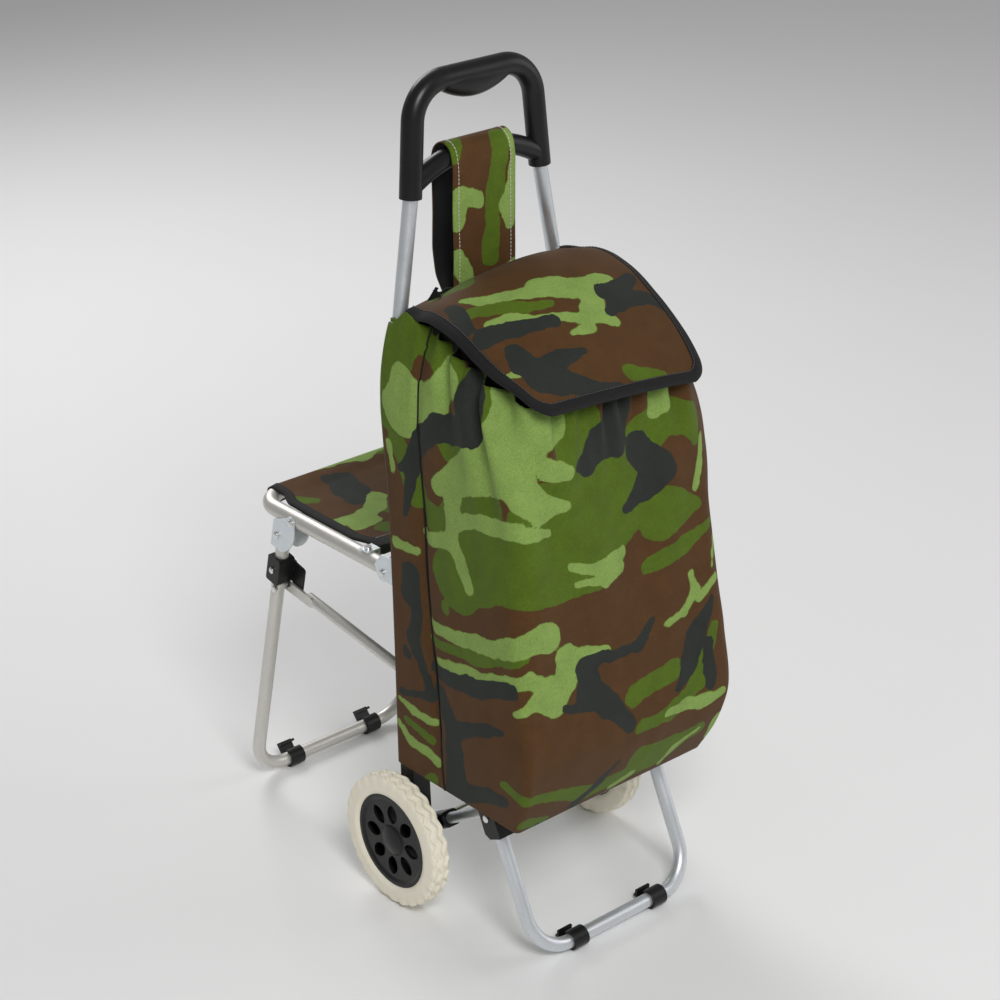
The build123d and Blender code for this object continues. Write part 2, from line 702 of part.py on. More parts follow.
rivet_y, rivet_z = on_leg(plate_rivet)
with BuildPart() as leg_plate_rivets:
    add(rivet(hinge_out, plate_inner, rivet_y, rivet_z))
    mirror(about=Plane.YZ)
save(leg_plate_rivets, "leg_plate_rivets")

# ---------------------------------------------------------------- brace clips on the rear leg
brace_out = side_x - tube_r - gap
brace_in = brace_out - brace_flat
with BuildPart() as brace_clip:
    with BuildSketch(leg_side.offset(side_x - brace_clip_r)):
        with Locations((0, -clip_screw)):
            RectangleRounded(2 * brace_clip_r, brace_clip_length, 3)
    extrude(amount=2 * brace_clip_r)
    for x, reach in (
        (brace_out + ear_gap, leg_offset - seat_tube_r - 0.6), (brace_in - ear_gap - ear, 29.0),
    ):
        with BuildSketch(leg_side.offset(x)):
            with Locations((-reach / 2, -clip_screw - 8)):
                RectangleRounded(reach, brace_clip_length, 4)
        extrude(amount=ear)
    with BuildSketch(leg_side.offset(brace_in - ear_gap - ear)):
        with Locations((-6, -clip_screw + 4)):
            Rectangle(10, 14)
    extrude(amount=side_x - brace_in + ear_gap + ear)
    with BuildSketch(leg_side.offset(brace_in - ear_gap)):
        with Locations((-10, -clip_screw - 24)):
            Rectangle(60, 28)
    extrude(amount=brace_out - brace_in + 2 * ear_gap, mode=Mode.SUBTRACT)
    with BuildSketch(leg_side.offset(brace_in - ear_gap - ear - 1)):
        with Locations((6, -clip_screw - 32)):
            Rectangle(34, 28)
    extrude(amount=60, mode=Mode.SUBTRACT)
    add(swept(leg_route.line, tube_r + bore_gap), mode=Mode.SUBTRACT)
    y, z = on_leg(clip_screw)
    add(x_pin(side_x, side_x + 20, y, z, screw_hole_r), mode=Mode.SUBTRACT)
save_pair(brace_clip, "brace_clip")

screw_y, screw_z = on_leg(clip_screw)
with BuildPart() as brace_clip_screws:
    add(x_pin(side_x + 3, side_x + brace_clip_r + 0.5, screw_y, screw_z, 2.0))
    add(x_pin(side_x + brace_clip_r + 0.1, side_x + brace_clip_r + 2.4, screw_y, screw_z, 3.8))
    mirror(about=Plane.YZ)
save(brace_clip_screws, "brace_clip_screws")

with BuildPart() as brace_pegs:
    add(rivet(side_x + tube_r, brace_in - gap, peg_y, peg_height))
    mirror(about=Plane.YZ)
save(brace_pegs, "brace_pegs")

# ---------------------------------------------------------------- braces
brace_angle = atan2(peg_height - brace_pivot_z, peg_y - brace_pivot_y)
brace_length = hypot(peg_height - brace_pivot_z, peg_y - brace_pivot_y)
brace_x = brace_out - brace_r + 0.2
brace_side = Plane(
    origin=(0, brace_pivot_y, brace_pivot_z), x_dir=(0, cos(brace_angle), sin(brace_angle)),
    z_dir=(1, 0, 0),
)
flat_front, flat_rear = 26.0, 36.0       # flattened ends, from each pivot
with BuildPart() as brace:
    with BuildSketch(Plane(
        origin=brace_side.from_local_coords((flat_front - 8, 0, brace_x)),
        x_dir=(1, 0, 0), z_dir=brace_side.x_dir,
    )):
        Circle(brace_r - 0.2)
        Circle(brace_r - 0.2 - tube_wall, mode=Mode.SUBTRACT)
    extrude(amount=brace_length - flat_front - flat_rear + 8)
    with BuildSketch(brace_side.offset(brace_in)):
        with Locations((flat_front / 2 - 1, 0)):
            SlotOverall(flat_front + 16, 2 * brace_r)
        with Locations((brace_length - flat_rear / 2 - 2, 0)):
            RectangleRounded(flat_rear + 24, 2 * brace_r, 5)
        Circle(rivet_r + pin_gap, mode=Mode.SUBTRACT)
        with Locations((brace_length, 0)):
            Circle(slot_half, mode=Mode.SUBTRACT)
        with Locations((brace_length, brace_r)):
            Rectangle(2 * slot_half, 2 * brace_r, mode=Mode.SUBTRACT)
    extrude(amount=brace_flat)
save_pair(brace, "brace")

with BuildPart() as brace_rivets:
    add(rivet(side_x + tube_r, brace_in, brace_pivot_y, brace_pivot_z))
    mirror(about=Plane.YZ)
save(brace_rivets, "brace_rivets")

# ---------------------------------------------------------------- bag
def bag_form(inset, bottom):
    """Closed form of the bag, its walls moved in by inset and its bottom at this height."""
    with BuildPart() as form:
        for height, half, front, corner in bag_rings:
            level = max(height, bottom)
            back = tube_y(height) - tube_r - bag_tube_gap - inset
            face = ahead(front) + inset
            with BuildSketch(Plane.XY.offset(level)):
                with Locations((0, (back + face) / 2)):
                    RectangleRounded(2 * (half - inset), back - face, max(corner - inset, 4))
        loft(ruled=True)
    return form.part


rim_angle = atan2(mouth_back - mouth_front, bag_mouth_ahead)
rim_back_y = tube_y(mouth_back) - tube_r - bag_tube_gap
rim_plane = Plane(
    origin=(0, rim_back_y, mouth_back), x_dir=(1, 0, 0),
    z_dir=(0, -sin(rim_angle), cos(rim_angle)),
)


def between_rims(low, high, inset, wall):
    """Band of the bag's wall between two heights above the rim."""
    with BuildPart() as band:
        add(bag_form(inset, bag_bottom))
        add(bag_form(inset + wall, bag_bottom), mode=Mode.SUBTRACT)
        split(bisect_by=rim_plane.offset(high), keep=Keep.BOTTOM)
        split(bisect_by=rim_plane.offset(low), keep=Keep.TOP)
    return band


with BuildPart() as bag_body:
    add(bag_form(0, bag_bottom))
    add(bag_form(bag_wall, bag_bottom + bag_wall), mode=Mode.SUBTRACT)
    split(bisect_by=rim_plane, keep=Keep.BOTTOM)
save(bag_body, "bag_body")

bag_collar = between_rims(-collar_depth, collar_rise, bag_wall + gap, 2.0)
save(bag_collar, "bag_collar")

board = 3.0
board_floor = bag_bottom + bag_wall + 0.1
with BuildPart() as bag_board:
    half, front = bag_rings[0][1] - 12, bag_rings[0][2] - 14
    back = tube_y(bag_bottom) - tube_r - bag_tube_gap - 14
    with BuildSketch(Plane.XY.offset(board_floor)):
        with Locations((0, (back + ahead(front)) / 2)):
            RectangleRounded(2 * half, back - ahead(front), 10)
    extrude(amount=board)
save(bag_board, "bag_board")

cloth_low, cloth_high = up_tube(560), up_tube(688)
with BuildPart() as tube_sleeve:
    add(swept(tube_path, tube_r + gap + sleeve_cloth))
    add(swept(tube_path, tube_r + gap), mode=Mode.SUBTRACT)
    band_plane = Plane(
        origin=frame_plane.origin, x_dir=(1, 0, 0), z_dir=frame_plane.y_dir
    )
    split(bisect_by=band_plane.offset(cloth_high), keep=Keep.BOTTOM)
    split(bisect_by=band_plane.offset(cloth_low), keep=Keep.TOP)
save_pair(tube_sleeve, "tube_sleeve")

# ---------------------------------------------------------------- lid flap
hinge_y, hinge_z = rim_back_y - 3, mouth_back + collar_rise + flap_thick
flap_nose = ahead(foot_pivot_ahead + 70)
flap_crest = (hinge_y - 47, hinge_z + 9)
flap_brow = (hinge_y - 135, hinge_z - 18)
flap_lip = mouth_front - 12
with BuildPart() as flap:
    with BuildSketch(side_plane(-flap_half)):
        with BuildLine():
            top = Spline((hinge_y, hinge_z), flap_crest, flap_brow, (flap_nose, flap_lip))
            bottom = Spline(
                (hinge_y, hinge_z - flap_thick), (flap_crest[0], flap_crest[1] - flap_thick),
                (flap_brow[0] + 1, flap_brow[1] - flap_thick), (flap_nose + 2, flap_lip - 2),
            )
            Line(top @ 0, bottom @ 0)
            Line(top @ 1, bottom @ 1)
        make_face()
    extrude(amount=2 * flap_half)
    with BuildSketch(Plane.XY.offset(mouth_front - 60)):
        with BuildLine():
            Polyline(
                (-flap_half, hinge_y + 1), (flap_half, hinge_y + 1),
                (flap_half, flap_nose + 90), (flap_front_half, flap_nose),
                (-flap_front_half, flap_nose), (-flap_half, flap_nose + 90), close=True,
            )
        make_face()
    extrude(amount=200, mode=Mode.INTERSECT)
save(flap, "flap")

# ---------------------------------------------------------------- strap loop over the crossbar
bar_centre = frame_plane.from_local_coords((0, crossbar_v, 0))
strap_front = bar_centre.Y - crossbar_r - gap
strap_back = bar_centre.Y + crossbar_r + 9
strap_low = mouth_back - 16
strap_seat = rim_back_y + gap + strap_thick
with BuildPart() as strap_loop:
    for inset, mode in ((0, Mode.ADD), (strap_thick, Mode.SUBTRACT)):
        grow = strap_thick - inset
        with BuildSketch(side_plane(-strap_half)):
            with BuildLine():
                FilletPolyline(
                    (strap_front - grow, bar_centre.Z + crossbar_r + gap + grow),
                    (strap_back + grow, bar_centre.Z + crossbar_r + gap + grow),
                    (strap_back + grow, strap_low + 20),
                    (strap_seat + 6, strap_low - grow),
                    (strap_seat - grow, strap_low - grow),
                    (strap_seat - grow, strap_low + 20), close=True,
                    radius=[12 + grow, 14 + grow, 12, 3, 3, 12],
                )
            make_face()
        extrude(amount=2 * strap_half, mode=mode)
save(strap_loop, "strap_loop")

# ---------------------------------------------------------------- what the record needs
print("axle y", axle_y)
print("seat pivot", pivot_y, seat_z)
print("leg pivot", hip_y, seat_z, "leg tilt", degrees(leg_tilt))
print("leg folds by", 90 + degrees(leg_tilt))
print("brace pivot", brace_pivot_y, brace_pivot_z, "angle", degrees(brace_angle))
print("foot pivot", foot_y, foot_pivot_z, "tilt", degrees(foot_tilt))
print("flap hinge", hinge_y, hinge_z)
print("bar heights", bar_z, "front bar", ahead(foot_bar_ahead), "rear bar", behind(leg_bar_behind))
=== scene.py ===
"""Looks for the folding shopping trolley: cloth bag, lid, seat sling, foam tyres and every finish."""
import json
import math

import bmesh
import bpy
import numpy as np
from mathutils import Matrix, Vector, noise


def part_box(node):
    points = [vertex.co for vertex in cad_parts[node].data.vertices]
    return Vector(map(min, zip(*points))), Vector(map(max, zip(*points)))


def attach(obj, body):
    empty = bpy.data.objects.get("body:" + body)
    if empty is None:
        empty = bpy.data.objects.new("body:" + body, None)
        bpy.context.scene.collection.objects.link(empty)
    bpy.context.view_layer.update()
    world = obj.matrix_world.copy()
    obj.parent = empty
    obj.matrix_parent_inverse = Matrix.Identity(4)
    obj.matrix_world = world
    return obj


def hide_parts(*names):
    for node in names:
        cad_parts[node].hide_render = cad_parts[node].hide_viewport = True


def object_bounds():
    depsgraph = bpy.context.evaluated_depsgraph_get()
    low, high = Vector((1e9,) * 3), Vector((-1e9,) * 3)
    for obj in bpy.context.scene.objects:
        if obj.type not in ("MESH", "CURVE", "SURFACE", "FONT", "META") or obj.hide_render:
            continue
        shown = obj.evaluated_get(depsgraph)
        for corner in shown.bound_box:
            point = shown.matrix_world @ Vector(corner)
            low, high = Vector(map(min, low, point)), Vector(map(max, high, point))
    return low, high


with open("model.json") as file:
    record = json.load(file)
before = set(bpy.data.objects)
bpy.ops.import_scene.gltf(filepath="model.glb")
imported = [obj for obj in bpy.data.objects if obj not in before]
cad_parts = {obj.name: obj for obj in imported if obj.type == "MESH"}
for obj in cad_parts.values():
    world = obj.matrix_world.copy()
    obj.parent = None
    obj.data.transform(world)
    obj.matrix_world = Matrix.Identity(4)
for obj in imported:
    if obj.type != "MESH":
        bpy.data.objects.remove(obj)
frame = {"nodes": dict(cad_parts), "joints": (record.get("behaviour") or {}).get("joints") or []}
cad_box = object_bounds()
nodes = frame["nodes"]

# ---------------------------------------------------------------- places taken from the frame
joints = {joint["name"]: joint for joint in frame["joints"]}
bag_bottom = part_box("bag_body")[0].z
nose_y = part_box("flap")[0].y
strap_low, strap_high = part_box("strap_loop")
seat_low, seat_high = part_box("seat_tube")
cross_low, cross_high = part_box("seat_cross_bar")
rod_low, rod_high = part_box("axle_rod")
axle = Vector((0, (rod_low.y + rod_high.y) / 2, (rod_low.z + rod_high.z) / 2))
lean = math.radians(2.43)
tube_radius = 0.008
side_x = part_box("main_tube_right")[1].x - tube_radius
splay_start = 0.640
handle_x, sleeve_bottom = 0.089, 0.811


def tube_y(height):
    """Y of the main tubes' centre lines at this height."""
    return axle.y + (height - axle.z) * math.tan(lean)


def tube_x(height):
    """Distance of the main tubes from the centre plane at this height."""
    share = (height - splay_start) / (sleeve_bottom - splay_start)
    return side_x - (side_x - handle_x) * np.maximum(share, 0)


# ---------------------------------------------------------------- mesh helpers
def smooth_step(value, low, high):
    share = np.clip((np.asarray(value, float) - low) / (high - low), 0, 1)
    return share * share * (3 - 2 * share)


def soft_curve(at, places, values):
    """Smooth curve through the values, with the slope at each place taken from its neighbours."""
    at, places = np.asarray(at, float), np.asarray(places, float)
    values = np.asarray(values, float)
    slopes = np.gradient(values, places)
    spot = np.clip(np.searchsorted(places, at) - 1, 0, len(places) - 2)
    width = places[spot + 1] - places[spot]
    t = np.clip((at - places[spot]) / width, 0, 1)
    return (
        (2 * t ** 3 - 3 * t ** 2 + 1) * values[spot]
        + (t ** 3 - 2 * t ** 2 + t) * width * slopes[spot]
        + (3 * t ** 2 - 2 * t ** 3) * values[spot + 1]
        + (t ** 3 - t ** 2) * width * slopes[spot + 1]
    )


def wander(points, size, seed):
    """Smooth noise from -1 to 1 at each point, with lumps of this size in metres."""
    shift = Vector((seed * 3.1, seed * 1.7, seed * 2.3))
    flat = np.asarray(points, float).reshape(-1, 3)
    values = [noise.noise(Vector(point) / size + shift) for point in flat]
    return np.array(values).reshape(np.asarray(points).shape[:-1])


def on_line(around):
    """Points on a straight line at these distances, for noise that runs along it."""
    return np.stack([around, np.zeros_like(around), np.zeros_like(around)], axis=1)


def sheet_normals(points):
    """Unit normals of a grid of points, rows by columns."""
    normal = np.cross(np.gradient(points, axis=1), np.gradient(points, axis=0))
    return normal / np.maximum(np.linalg.norm(normal, axis=2, keepdims=True), 1e-12)


def grid_piece(name, points, materials, wrap=False, flat=None, cap=False):
    """Mesh piece from a grid of points; flat gives each point's place on the uncut cloth, in metres."""
    rows, columns = points.shape[:2]
    mesh = bpy.data.meshes.new(name)
    faces, corners = [], []
    last = columns if wrap else columns - 1
    for row in range(rows - 1):
        for column in range(last):
            after = (column + 1) % columns
            faces.append((
                row * columns + column, row * columns + after,
                (row + 1) * columns + after, (row + 1) * columns + column,
            ))
            corners.append(((row, column), (row, column + 1), (row + 1, column + 1), (row + 1, column)))
    if cap:
        faces.append(tuple(reversed(range(columns))))
        corners.append(tuple((0, column) for column in reversed(range(columns))))
    mesh.from_pydata(points.reshape(-1, 3).tolist(), [], faces)
    if flat is None:
        across = np.linalg.norm(np.diff(points, axis=1, append=points[:, :1]), axis=2)
        across = np.concatenate([np.zeros((rows, 1)), np.cumsum(across, axis=1)], axis=1)
        length = np.linalg.norm(np.diff(points, axis=0), axis=2)
        length = np.concatenate([np.zeros((1, columns)), np.cumsum(length, axis=0)], axis=0)
        length = np.concatenate([length, length[:, :1]], axis=1)
        flat = np.stack([across, length], axis=2)
    layer = mesh.uv_layers.new(name="cloth")
    spots = [flat[min(row, rows - 1), column % flat.shape[1]] for face in corners for row, column in face]
    layer.data.foreach_set("uv", np.array(spots, float).ravel())
    mesh.shade_smooth()
    mesh.validate()
    piece = bpy.data.objects.new(name, mesh)
    bpy.context.scene.collection.objects.link(piece)
    for material in materials:
        mesh.materials.append(material)
    return piece


def thicken(piece, thickness, inside=0):
    """Give the cloth its thickness behind its outer face; inside picks the inner face's material."""
    wall = piece.modifiers.new("thickness", "SOLIDIFY")
    wall.thickness = thickness
    wall.offset = -1
    wall.use_even_offset = False
    wall.material_offset = inside


def face_outwards(piece):
    """Merge doubled points and turn every face of a closed piece outwards."""
    shape = bmesh.new()
    shape.from_mesh(piece.data)
    bmesh.ops.remove_doubles(shape, verts=shape.verts, dist=1e-6)
    bmesh.ops.recalc_face_normals(shape, faces=shape.faces)
    shape.to_mesh(piece.data)
    shape.free()


def path_curve(name, points, closed=False):
    """Open or closed line through the points, as a mesh of edges."""
    mesh = bpy.data.meshes.new(name)
    count = len(points)
    edges = [(i, i + 1) for i in range(count - 1)] + ([(count - 1, 0)] if closed else [])
    mesh.from_pydata([tuple(point) for point in points], edges, [])
    piece = bpy.data.objects.new(name, mesh)
    bpy.context.scene.collection.objects.link(piece)
    return piece


# ---------------------------------------------------------------- node trees that repeat a shape
def new_tree(name, inputs):
    tree = bpy.data.node_groups.new(name, "GeometryNodeTree")
    tree.interface.new_socket("Geometry", in_out="INPUT", socket_type="NodeSocketGeometry")
    for label, kind, value in inputs:
        socket = tree.interface.new_socket(label, in_out="INPUT", socket_type=kind)
        if value is not None:
            socket.default_value = value
    tree.interface.new_socket("Geometry", in_out="OUTPUT", socket_type="NodeSocketGeometry")
    return tree, tree.nodes.new("NodeGroupInput")


def close_tree(tree, start, instances):
    """End a tree: its instances made real, painted, and handed out."""
    make, join = tree.nodes.new, tree.links.new
    real = make("GeometryNodeRealizeInstances")
    paint = make("GeometryNodeSetMaterial")
    end = make("NodeGroupOutput")
    join(instances, real.inputs["Geometry"])
    join(real.outputs["Geometry"], paint.inputs["Geometry"])
    join(start.outputs["Material"], paint.inputs["Material"])
    join(paint.outputs["Geometry"], end.inputs["Geometry"])
    return tree


def stitch_tree():
    """Thread stitches laid end to end along a line, each a short rounded bar."""
    tree, start = new_tree("stitch_row", [
        ("Pitch", "NodeSocketFloat", 0.0042), ("Stitch", "NodeSocketFloat", 0.0030),
        ("Thread", "NodeSocketFloat", 0.00045), ("Material", "NodeSocketMaterial", None),
    ])
    make, join = tree.nodes.new, tree.links.new
    line = make("GeometryNodeMeshToCurve")
    spread = make("GeometryNodeResampleCurve")
    spread.mode = "LENGTH"
    bar = make("GeometryNodeMeshCylinder")
    bar.inputs["Vertices"].default_value = 6
    bar.inputs["Radius"].default_value = 1.0
    bar.inputs["Depth"].default_value = 1.0
    size = make("ShaderNodeCombineXYZ")
    tangent = make("GeometryNodeInputTangent")
    turn = make("FunctionNodeAlignEulerToVector")
    turn.axis = "Z"
    place = make("GeometryNodeInstanceOnPoints")
    join(start.outputs["Geometry"], line.inputs["Mesh"])
    join(line.outputs["Curve"], spread.inputs["Curve"])
    join(start.outputs["Pitch"], spread.inputs["Length"])
    for axis, source in (("X", "Thread"), ("Y", "Thread"), ("Z", "Stitch")):
        join(start.outputs[source], size.inputs[axis])
    join(tangent.outputs["Tangent"], turn.inputs["Vector"])
    join(spread.outputs["Curve"], place.inputs["Points"])
    join(bar.outputs["Mesh"], place.inputs["Instance"])
    join(turn.outputs["Rotation"], place.inputs["Rotation"])
    join(size.outputs["Vector"], place.inputs["Scale"])
    return close_tree(tree, start, place.outputs["Instances"])


def head_tree():
    """Domed rivet heads, one at each point, facing along the point's normal on X."""
    tree, start = new_tree("rivet_heads", [
        ("Radius", "NodeSocketFloat", 0.0045), ("Rise", "NodeSocketFloat", 0.0013),
        ("Material", "NodeSocketMaterial", None),
    ])
    make, join = tree.nodes.new, tree.links.new
    points = make("GeometryNodeMeshToPoints")
    dome = make("GeometryNodeMeshUVSphere")
    dome.inputs["Segments"].default_value = 20
    dome.inputs["Rings"].default_value = 10
    dome.inputs["Radius"].default_value = 1.0
    size = make("ShaderNodeCombineXYZ")
    place = make("GeometryNodeInstanceOnPoints")
    join(start.outputs["Geometry"], points.inputs["Mesh"])
    join(points.outputs["Points"], place.inputs["Points"])
    join(dome.outputs["Mesh"], place.inputs["Instance"])
    for axis, source in (("X", "Rise"), ("Y", "Radius"), ("Z", "Radius")):
        join(start.outputs[source], size.inputs[axis])
    join(size.outputs["Vector"], place.inputs["Scale"])
    return close_tree(tree, start, place.outputs["Instances"])


def grow(piece, tree, **values):
    """Run a node tree on the piece with these inputs and keep the result as its plain mesh."""
    step = piece.modifiers.new("grow", "NODES")
    step.node_group = tree
    for item in tree.interface.items_tree:
        if item.item_type == "SOCKET" and item.in_out == "INPUT" and item.name in values:
            step[item.identifier] = values[item.name]
    bpy.context.view_layer.update()
    depsgraph = bpy.context.evaluated_depsgraph_get()
    result = bpy.data.meshes.new_from_object(piece.evaluated_get(depsgraph))
    piece.modifiers.remove(step)
    result.name = piece.name
    result.shade_smooth()
    piece.data = result
    return piece


# ---------------------------------------------------------------- shader helpers
class Finish:
    """A material's node tree, with short ways to add and join nodes."""

    def __init__(self, name, colour=(0.5, 0.5, 0.5), **surface):
        self.material = bpy.data.materials.new(name)
        self.material.use_nodes = True
        self.tree = self.material.node_tree
        self.tree.nodes.clear()
        self.output = self.tree.nodes.new("ShaderNodeOutputMaterial")
        self.surface = self.tree.nodes.new("ShaderNodeBsdfPrincipled")
        self.tree.links.new(self.surface.outputs[0], self.output.inputs[0])
        self.surface.inputs["Base Color"].default_value = (*colour, 1)
        for label, value in surface.items():
            self.surface.inputs[label.replace("_", " ")].default_value = value
        where = self.tree.nodes.new("ShaderNodeTexCoord")
        self.place, self.cloth = where.outputs["Object"], where.outputs["UV"]

    def feed(self, socket, value):
        if isinstance(value, bpy.types.NodeSocket):
            self.tree.links.new(value, socket)
        else:
            socket.default_value = value

    def stretch(self, vector, scale):
        node = self.tree.nodes.new("ShaderNodeMapping")
        self.feed(node.inputs["Vector"], vector)
        node.inputs["Scale"].default_value = scale
        return node.outputs[0]

    def noise(self, vector, scale, detail=2.0, roughness=0.5):
        node = self.tree.nodes.new("ShaderNodeTexNoise")
        self.feed(node.inputs["Vector"], vector)
        node.inputs["Scale"].default_value = scale
        node.inputs["Detail"].default_value = detail
        node.inputs["Roughness"].default_value = roughness
        return node.outputs["Fac"]

    def sum(self, operation, first, second=0.0):
        node = self.tree.nodes.new("ShaderNodeMath")
        node.operation = operation
        self.feed(node.inputs[0], first)
        self.feed(node.inputs[1], second)
        return node.outputs[0]

    def dim(self, colour, level):
        node = self.tree.nodes.new("ShaderNodeVectorMath")
        node.operation = "SCALE"
        self.feed(node.inputs[0], colour)
        self.feed(node.inputs["Scale"], level)
        return node.outputs[0]

    def range(self, value, low, high, to_low=0.0, to_high=1.0):
        node = self.tree.nodes.new("ShaderNodeMapRange")
        self.feed(node.inputs["Value"], value)
        for label, number in (
            ("From Min", low), ("From Max", high), ("To Min", to_low), ("To Max", to_high),
        ):
            self.feed(node.inputs[label], number)
        return node.outputs["Result"]

    def mix(self, share, first, second, blend="MIX"):
        node = self.tree.nodes.new("ShaderNodeMix")
        node.data_type = "RGBA"
        node.blend_type = blend
        self.feed(node.inputs["Factor"], share)
        for socket, value in ((node.inputs["A"], first), (node.inputs["B"], second)):
            self.feed(socket, value if isinstance(value, bpy.types.NodeSocket) else (*value, 1))
        return node.outputs["Result"]

    def colour(self, value):
        self.feed(self.surface.inputs["Base Color"], value)

    def rough(self, value):
        self.feed(self.surface.inputs["Roughness"], value)

    def bump(self, height, distance, strength=1.0):
        node = self.tree.nodes.new("ShaderNodeBump")
        node.inputs["Strength"].default_value = strength
        node.inputs["Distance"].default_value = distance
        self.feed(node.inputs["Height"], height)
        above = self.surface.inputs["Normal"]
        if above.is_linked:
            self.tree.links.new(above.links[0].from_socket, node.inputs["Normal"])
        self.tree.links.new(node.outputs[0], above)


# ---------------------------------------------------------------- woodland print
# Each figure is a chain of round dabs, (across, along, radius) in millimetres of flat cloth.
BAG_PRINT = {
    "green": (
        ((-345, 600, 26), (-330, 655, 30), (-290, 695, 25), (-250, 700, 20)),
        ((-275, 680, 16), (-225, 675, 20), (-245, 650, 12)), ((-190, 650, 25),),
        ((-240, 590, 25), (-205, 625, 16)), ((-330, 565, 15), (-305, 510, 17)),
        ((-55, 615, 32), (-50, 565, 35), (-5, 525, 57), (-120, 525, 43)),
        ((-225, 495, 45), (-170, 480, 37), (-55, 490, 56)), ((-200, 545, 32),),
        ((65, 490, 32), (110, 485, 8)), ((45, 580, 25), (70, 600, 20), (105, 580, 15)),
        ((40, 435, 8), (90, 445, 12), (130, 460, 5)), ((-280, 495, 17),),
        ((100, 590, 15), (110, 560, 8)), ((-250, 440, 36), (-190, 475, 33)), ((-270, 400, 7),),
        ((-295, 350, 5), (-235, 360, 8), (-145, 390, 5)), ((0, 300, 13), (65, 310, 11)),
        ((10, 260, 8), (55, 260, 9), (100, 285, 12), (125, 340, 6)),
        ((20, 215, 13), (75, 205, 15), (110, 215, 10)),
        ((-185, 235, 5), (-100, 215, 8), (-40, 190, 12), (65, 195, 13)),
        ((-135, 185, 8), (-100, 175, 6)), ((-280, 175, 12),), ((-350, 235, 4), (-300, 225, 6)),
    ),
    "light": (
        ((-310, 630, 22), (-320, 600, 26), (-260, 630, 18), (-230, 660, 12)),
        ((-345, 560, 5), (-345, 525, 3)), ((-155, 655, 15),),
        ((-120, 650, 38), (-90, 625, 18), (-140, 620, 40), (-190, 585, 31), (-235, 555, 18), (-270, 535, 10)),
        ((-245, 540, 13), (-250, 480, 9), (-230, 440, 9)),
        ((-245, 505, 7), (-195, 520, 9), (-150, 525, 10), (-105, 515, 5)),
        ((-140, 600, 25), (-140, 570, 23), (-115, 545, 16), (-80, 540, 7)), ((-100, 585, 13), (-70, 575, 8)),
        ((-290, 470, 7), (-255, 480, 8)), ((-75, 470, 5), (-35, 460, 8), (5, 465, 8)),
        ((-70, 450, 3), (-30, 445, 7), (0, 450, 6)), ((70, 615, 14), (60, 605, 9)),
        ((125, 560, 5), (110, 505, 5)), ((140, 440, 5), (130, 410, 2)), ((-350, 445, 6), (-310, 445, 5)),
        ((-290, 370, 7), (-250, 375, 9), (-200, 385, 9), (-140, 405, 12), (-115, 405, 18)),
        ((-95, 380, 9), (-35, 365, 7)),
        ((-90, 375, 14), (-90, 350, 15), (-110, 330, 15), (-135, 340, 9), (-170, 325, 3)),
        ((-285, 330, 6), (-200, 350, 6), (-140, 365, 8), (-105, 345, 12)),
        ((100, 410, 3), (105, 390, 5), (85, 370, 5), (55, 365, 3)), ((135, 395, 5), (110, 380, 5)),
        ((50, 260, 3), (80, 265, 7), (105, 255, 8), (135, 260, 6)), ((140, 215, 10), (140, 195, 8)),
        ((110, 215, 3), (80, 200, 5), (65, 180, 3)), ((-5, 180, 3), (25, 185, 5)),
        ((-365, 255, 2), (-335, 250, 5), (-300, 250, 5)), ((-360, 225, 3), (-330, 210, 5), (-280, 205, 5)),
    ),
    "black": (
        ((5, 625, 25), (0, 595, 23), (-30, 590, 18), (-45, 575, 14)),
        ((35, 570, 17), (60, 540, 17), (45, 525, 16), (15, 510, 8)),
        ((-190, 660, 14), (-210, 635, 18), (-205, 615, 18), (-260, 600, 14), (-295, 575, 10),
         (-310, 545, 10), (-330, 535, 6)),
        ((-310, 540, 10), (-325, 485, 5)), ((-330, 415, 14), (-330, 390, 16)),
        ((-295, 315, 8), (-240, 325, 10), (-170, 350, 8)),
        ((-35, 360, 7), (-65, 355, 13), (-60, 330, 17), (-35, 300, 14), (-5, 270, 8)),
        ((-60, 310, 7), (-95, 320, 5)), ((-30, 355, 6), (15, 355, 7), (40, 375, 5)),
        ((-290, 295, 8), (-280, 270, 12), (-265, 235, 14), (-240, 180, 14), (-200, 205, 13), (-180, 210, 10)),
        ((-265, 265, 8), (-215, 290, 8), (-190, 295, 3)),
        ((125, 370, 5), (100, 335, 12), (90, 310, 14), (65, 285, 4)), ((115, 325, 6), (115, 275, 8)),
        ((-320, 420, 8), (-320, 375, 9), (-330, 340, 10), (-305, 280, 6)), ((-345, 320, 8),),
        ((-360, 265, 5), (-310, 280, 5)), ((-60, 180, 9), (-35, 200, 7), (-10, 225, 2)), ((-110, 170, 5),),
    ),
}
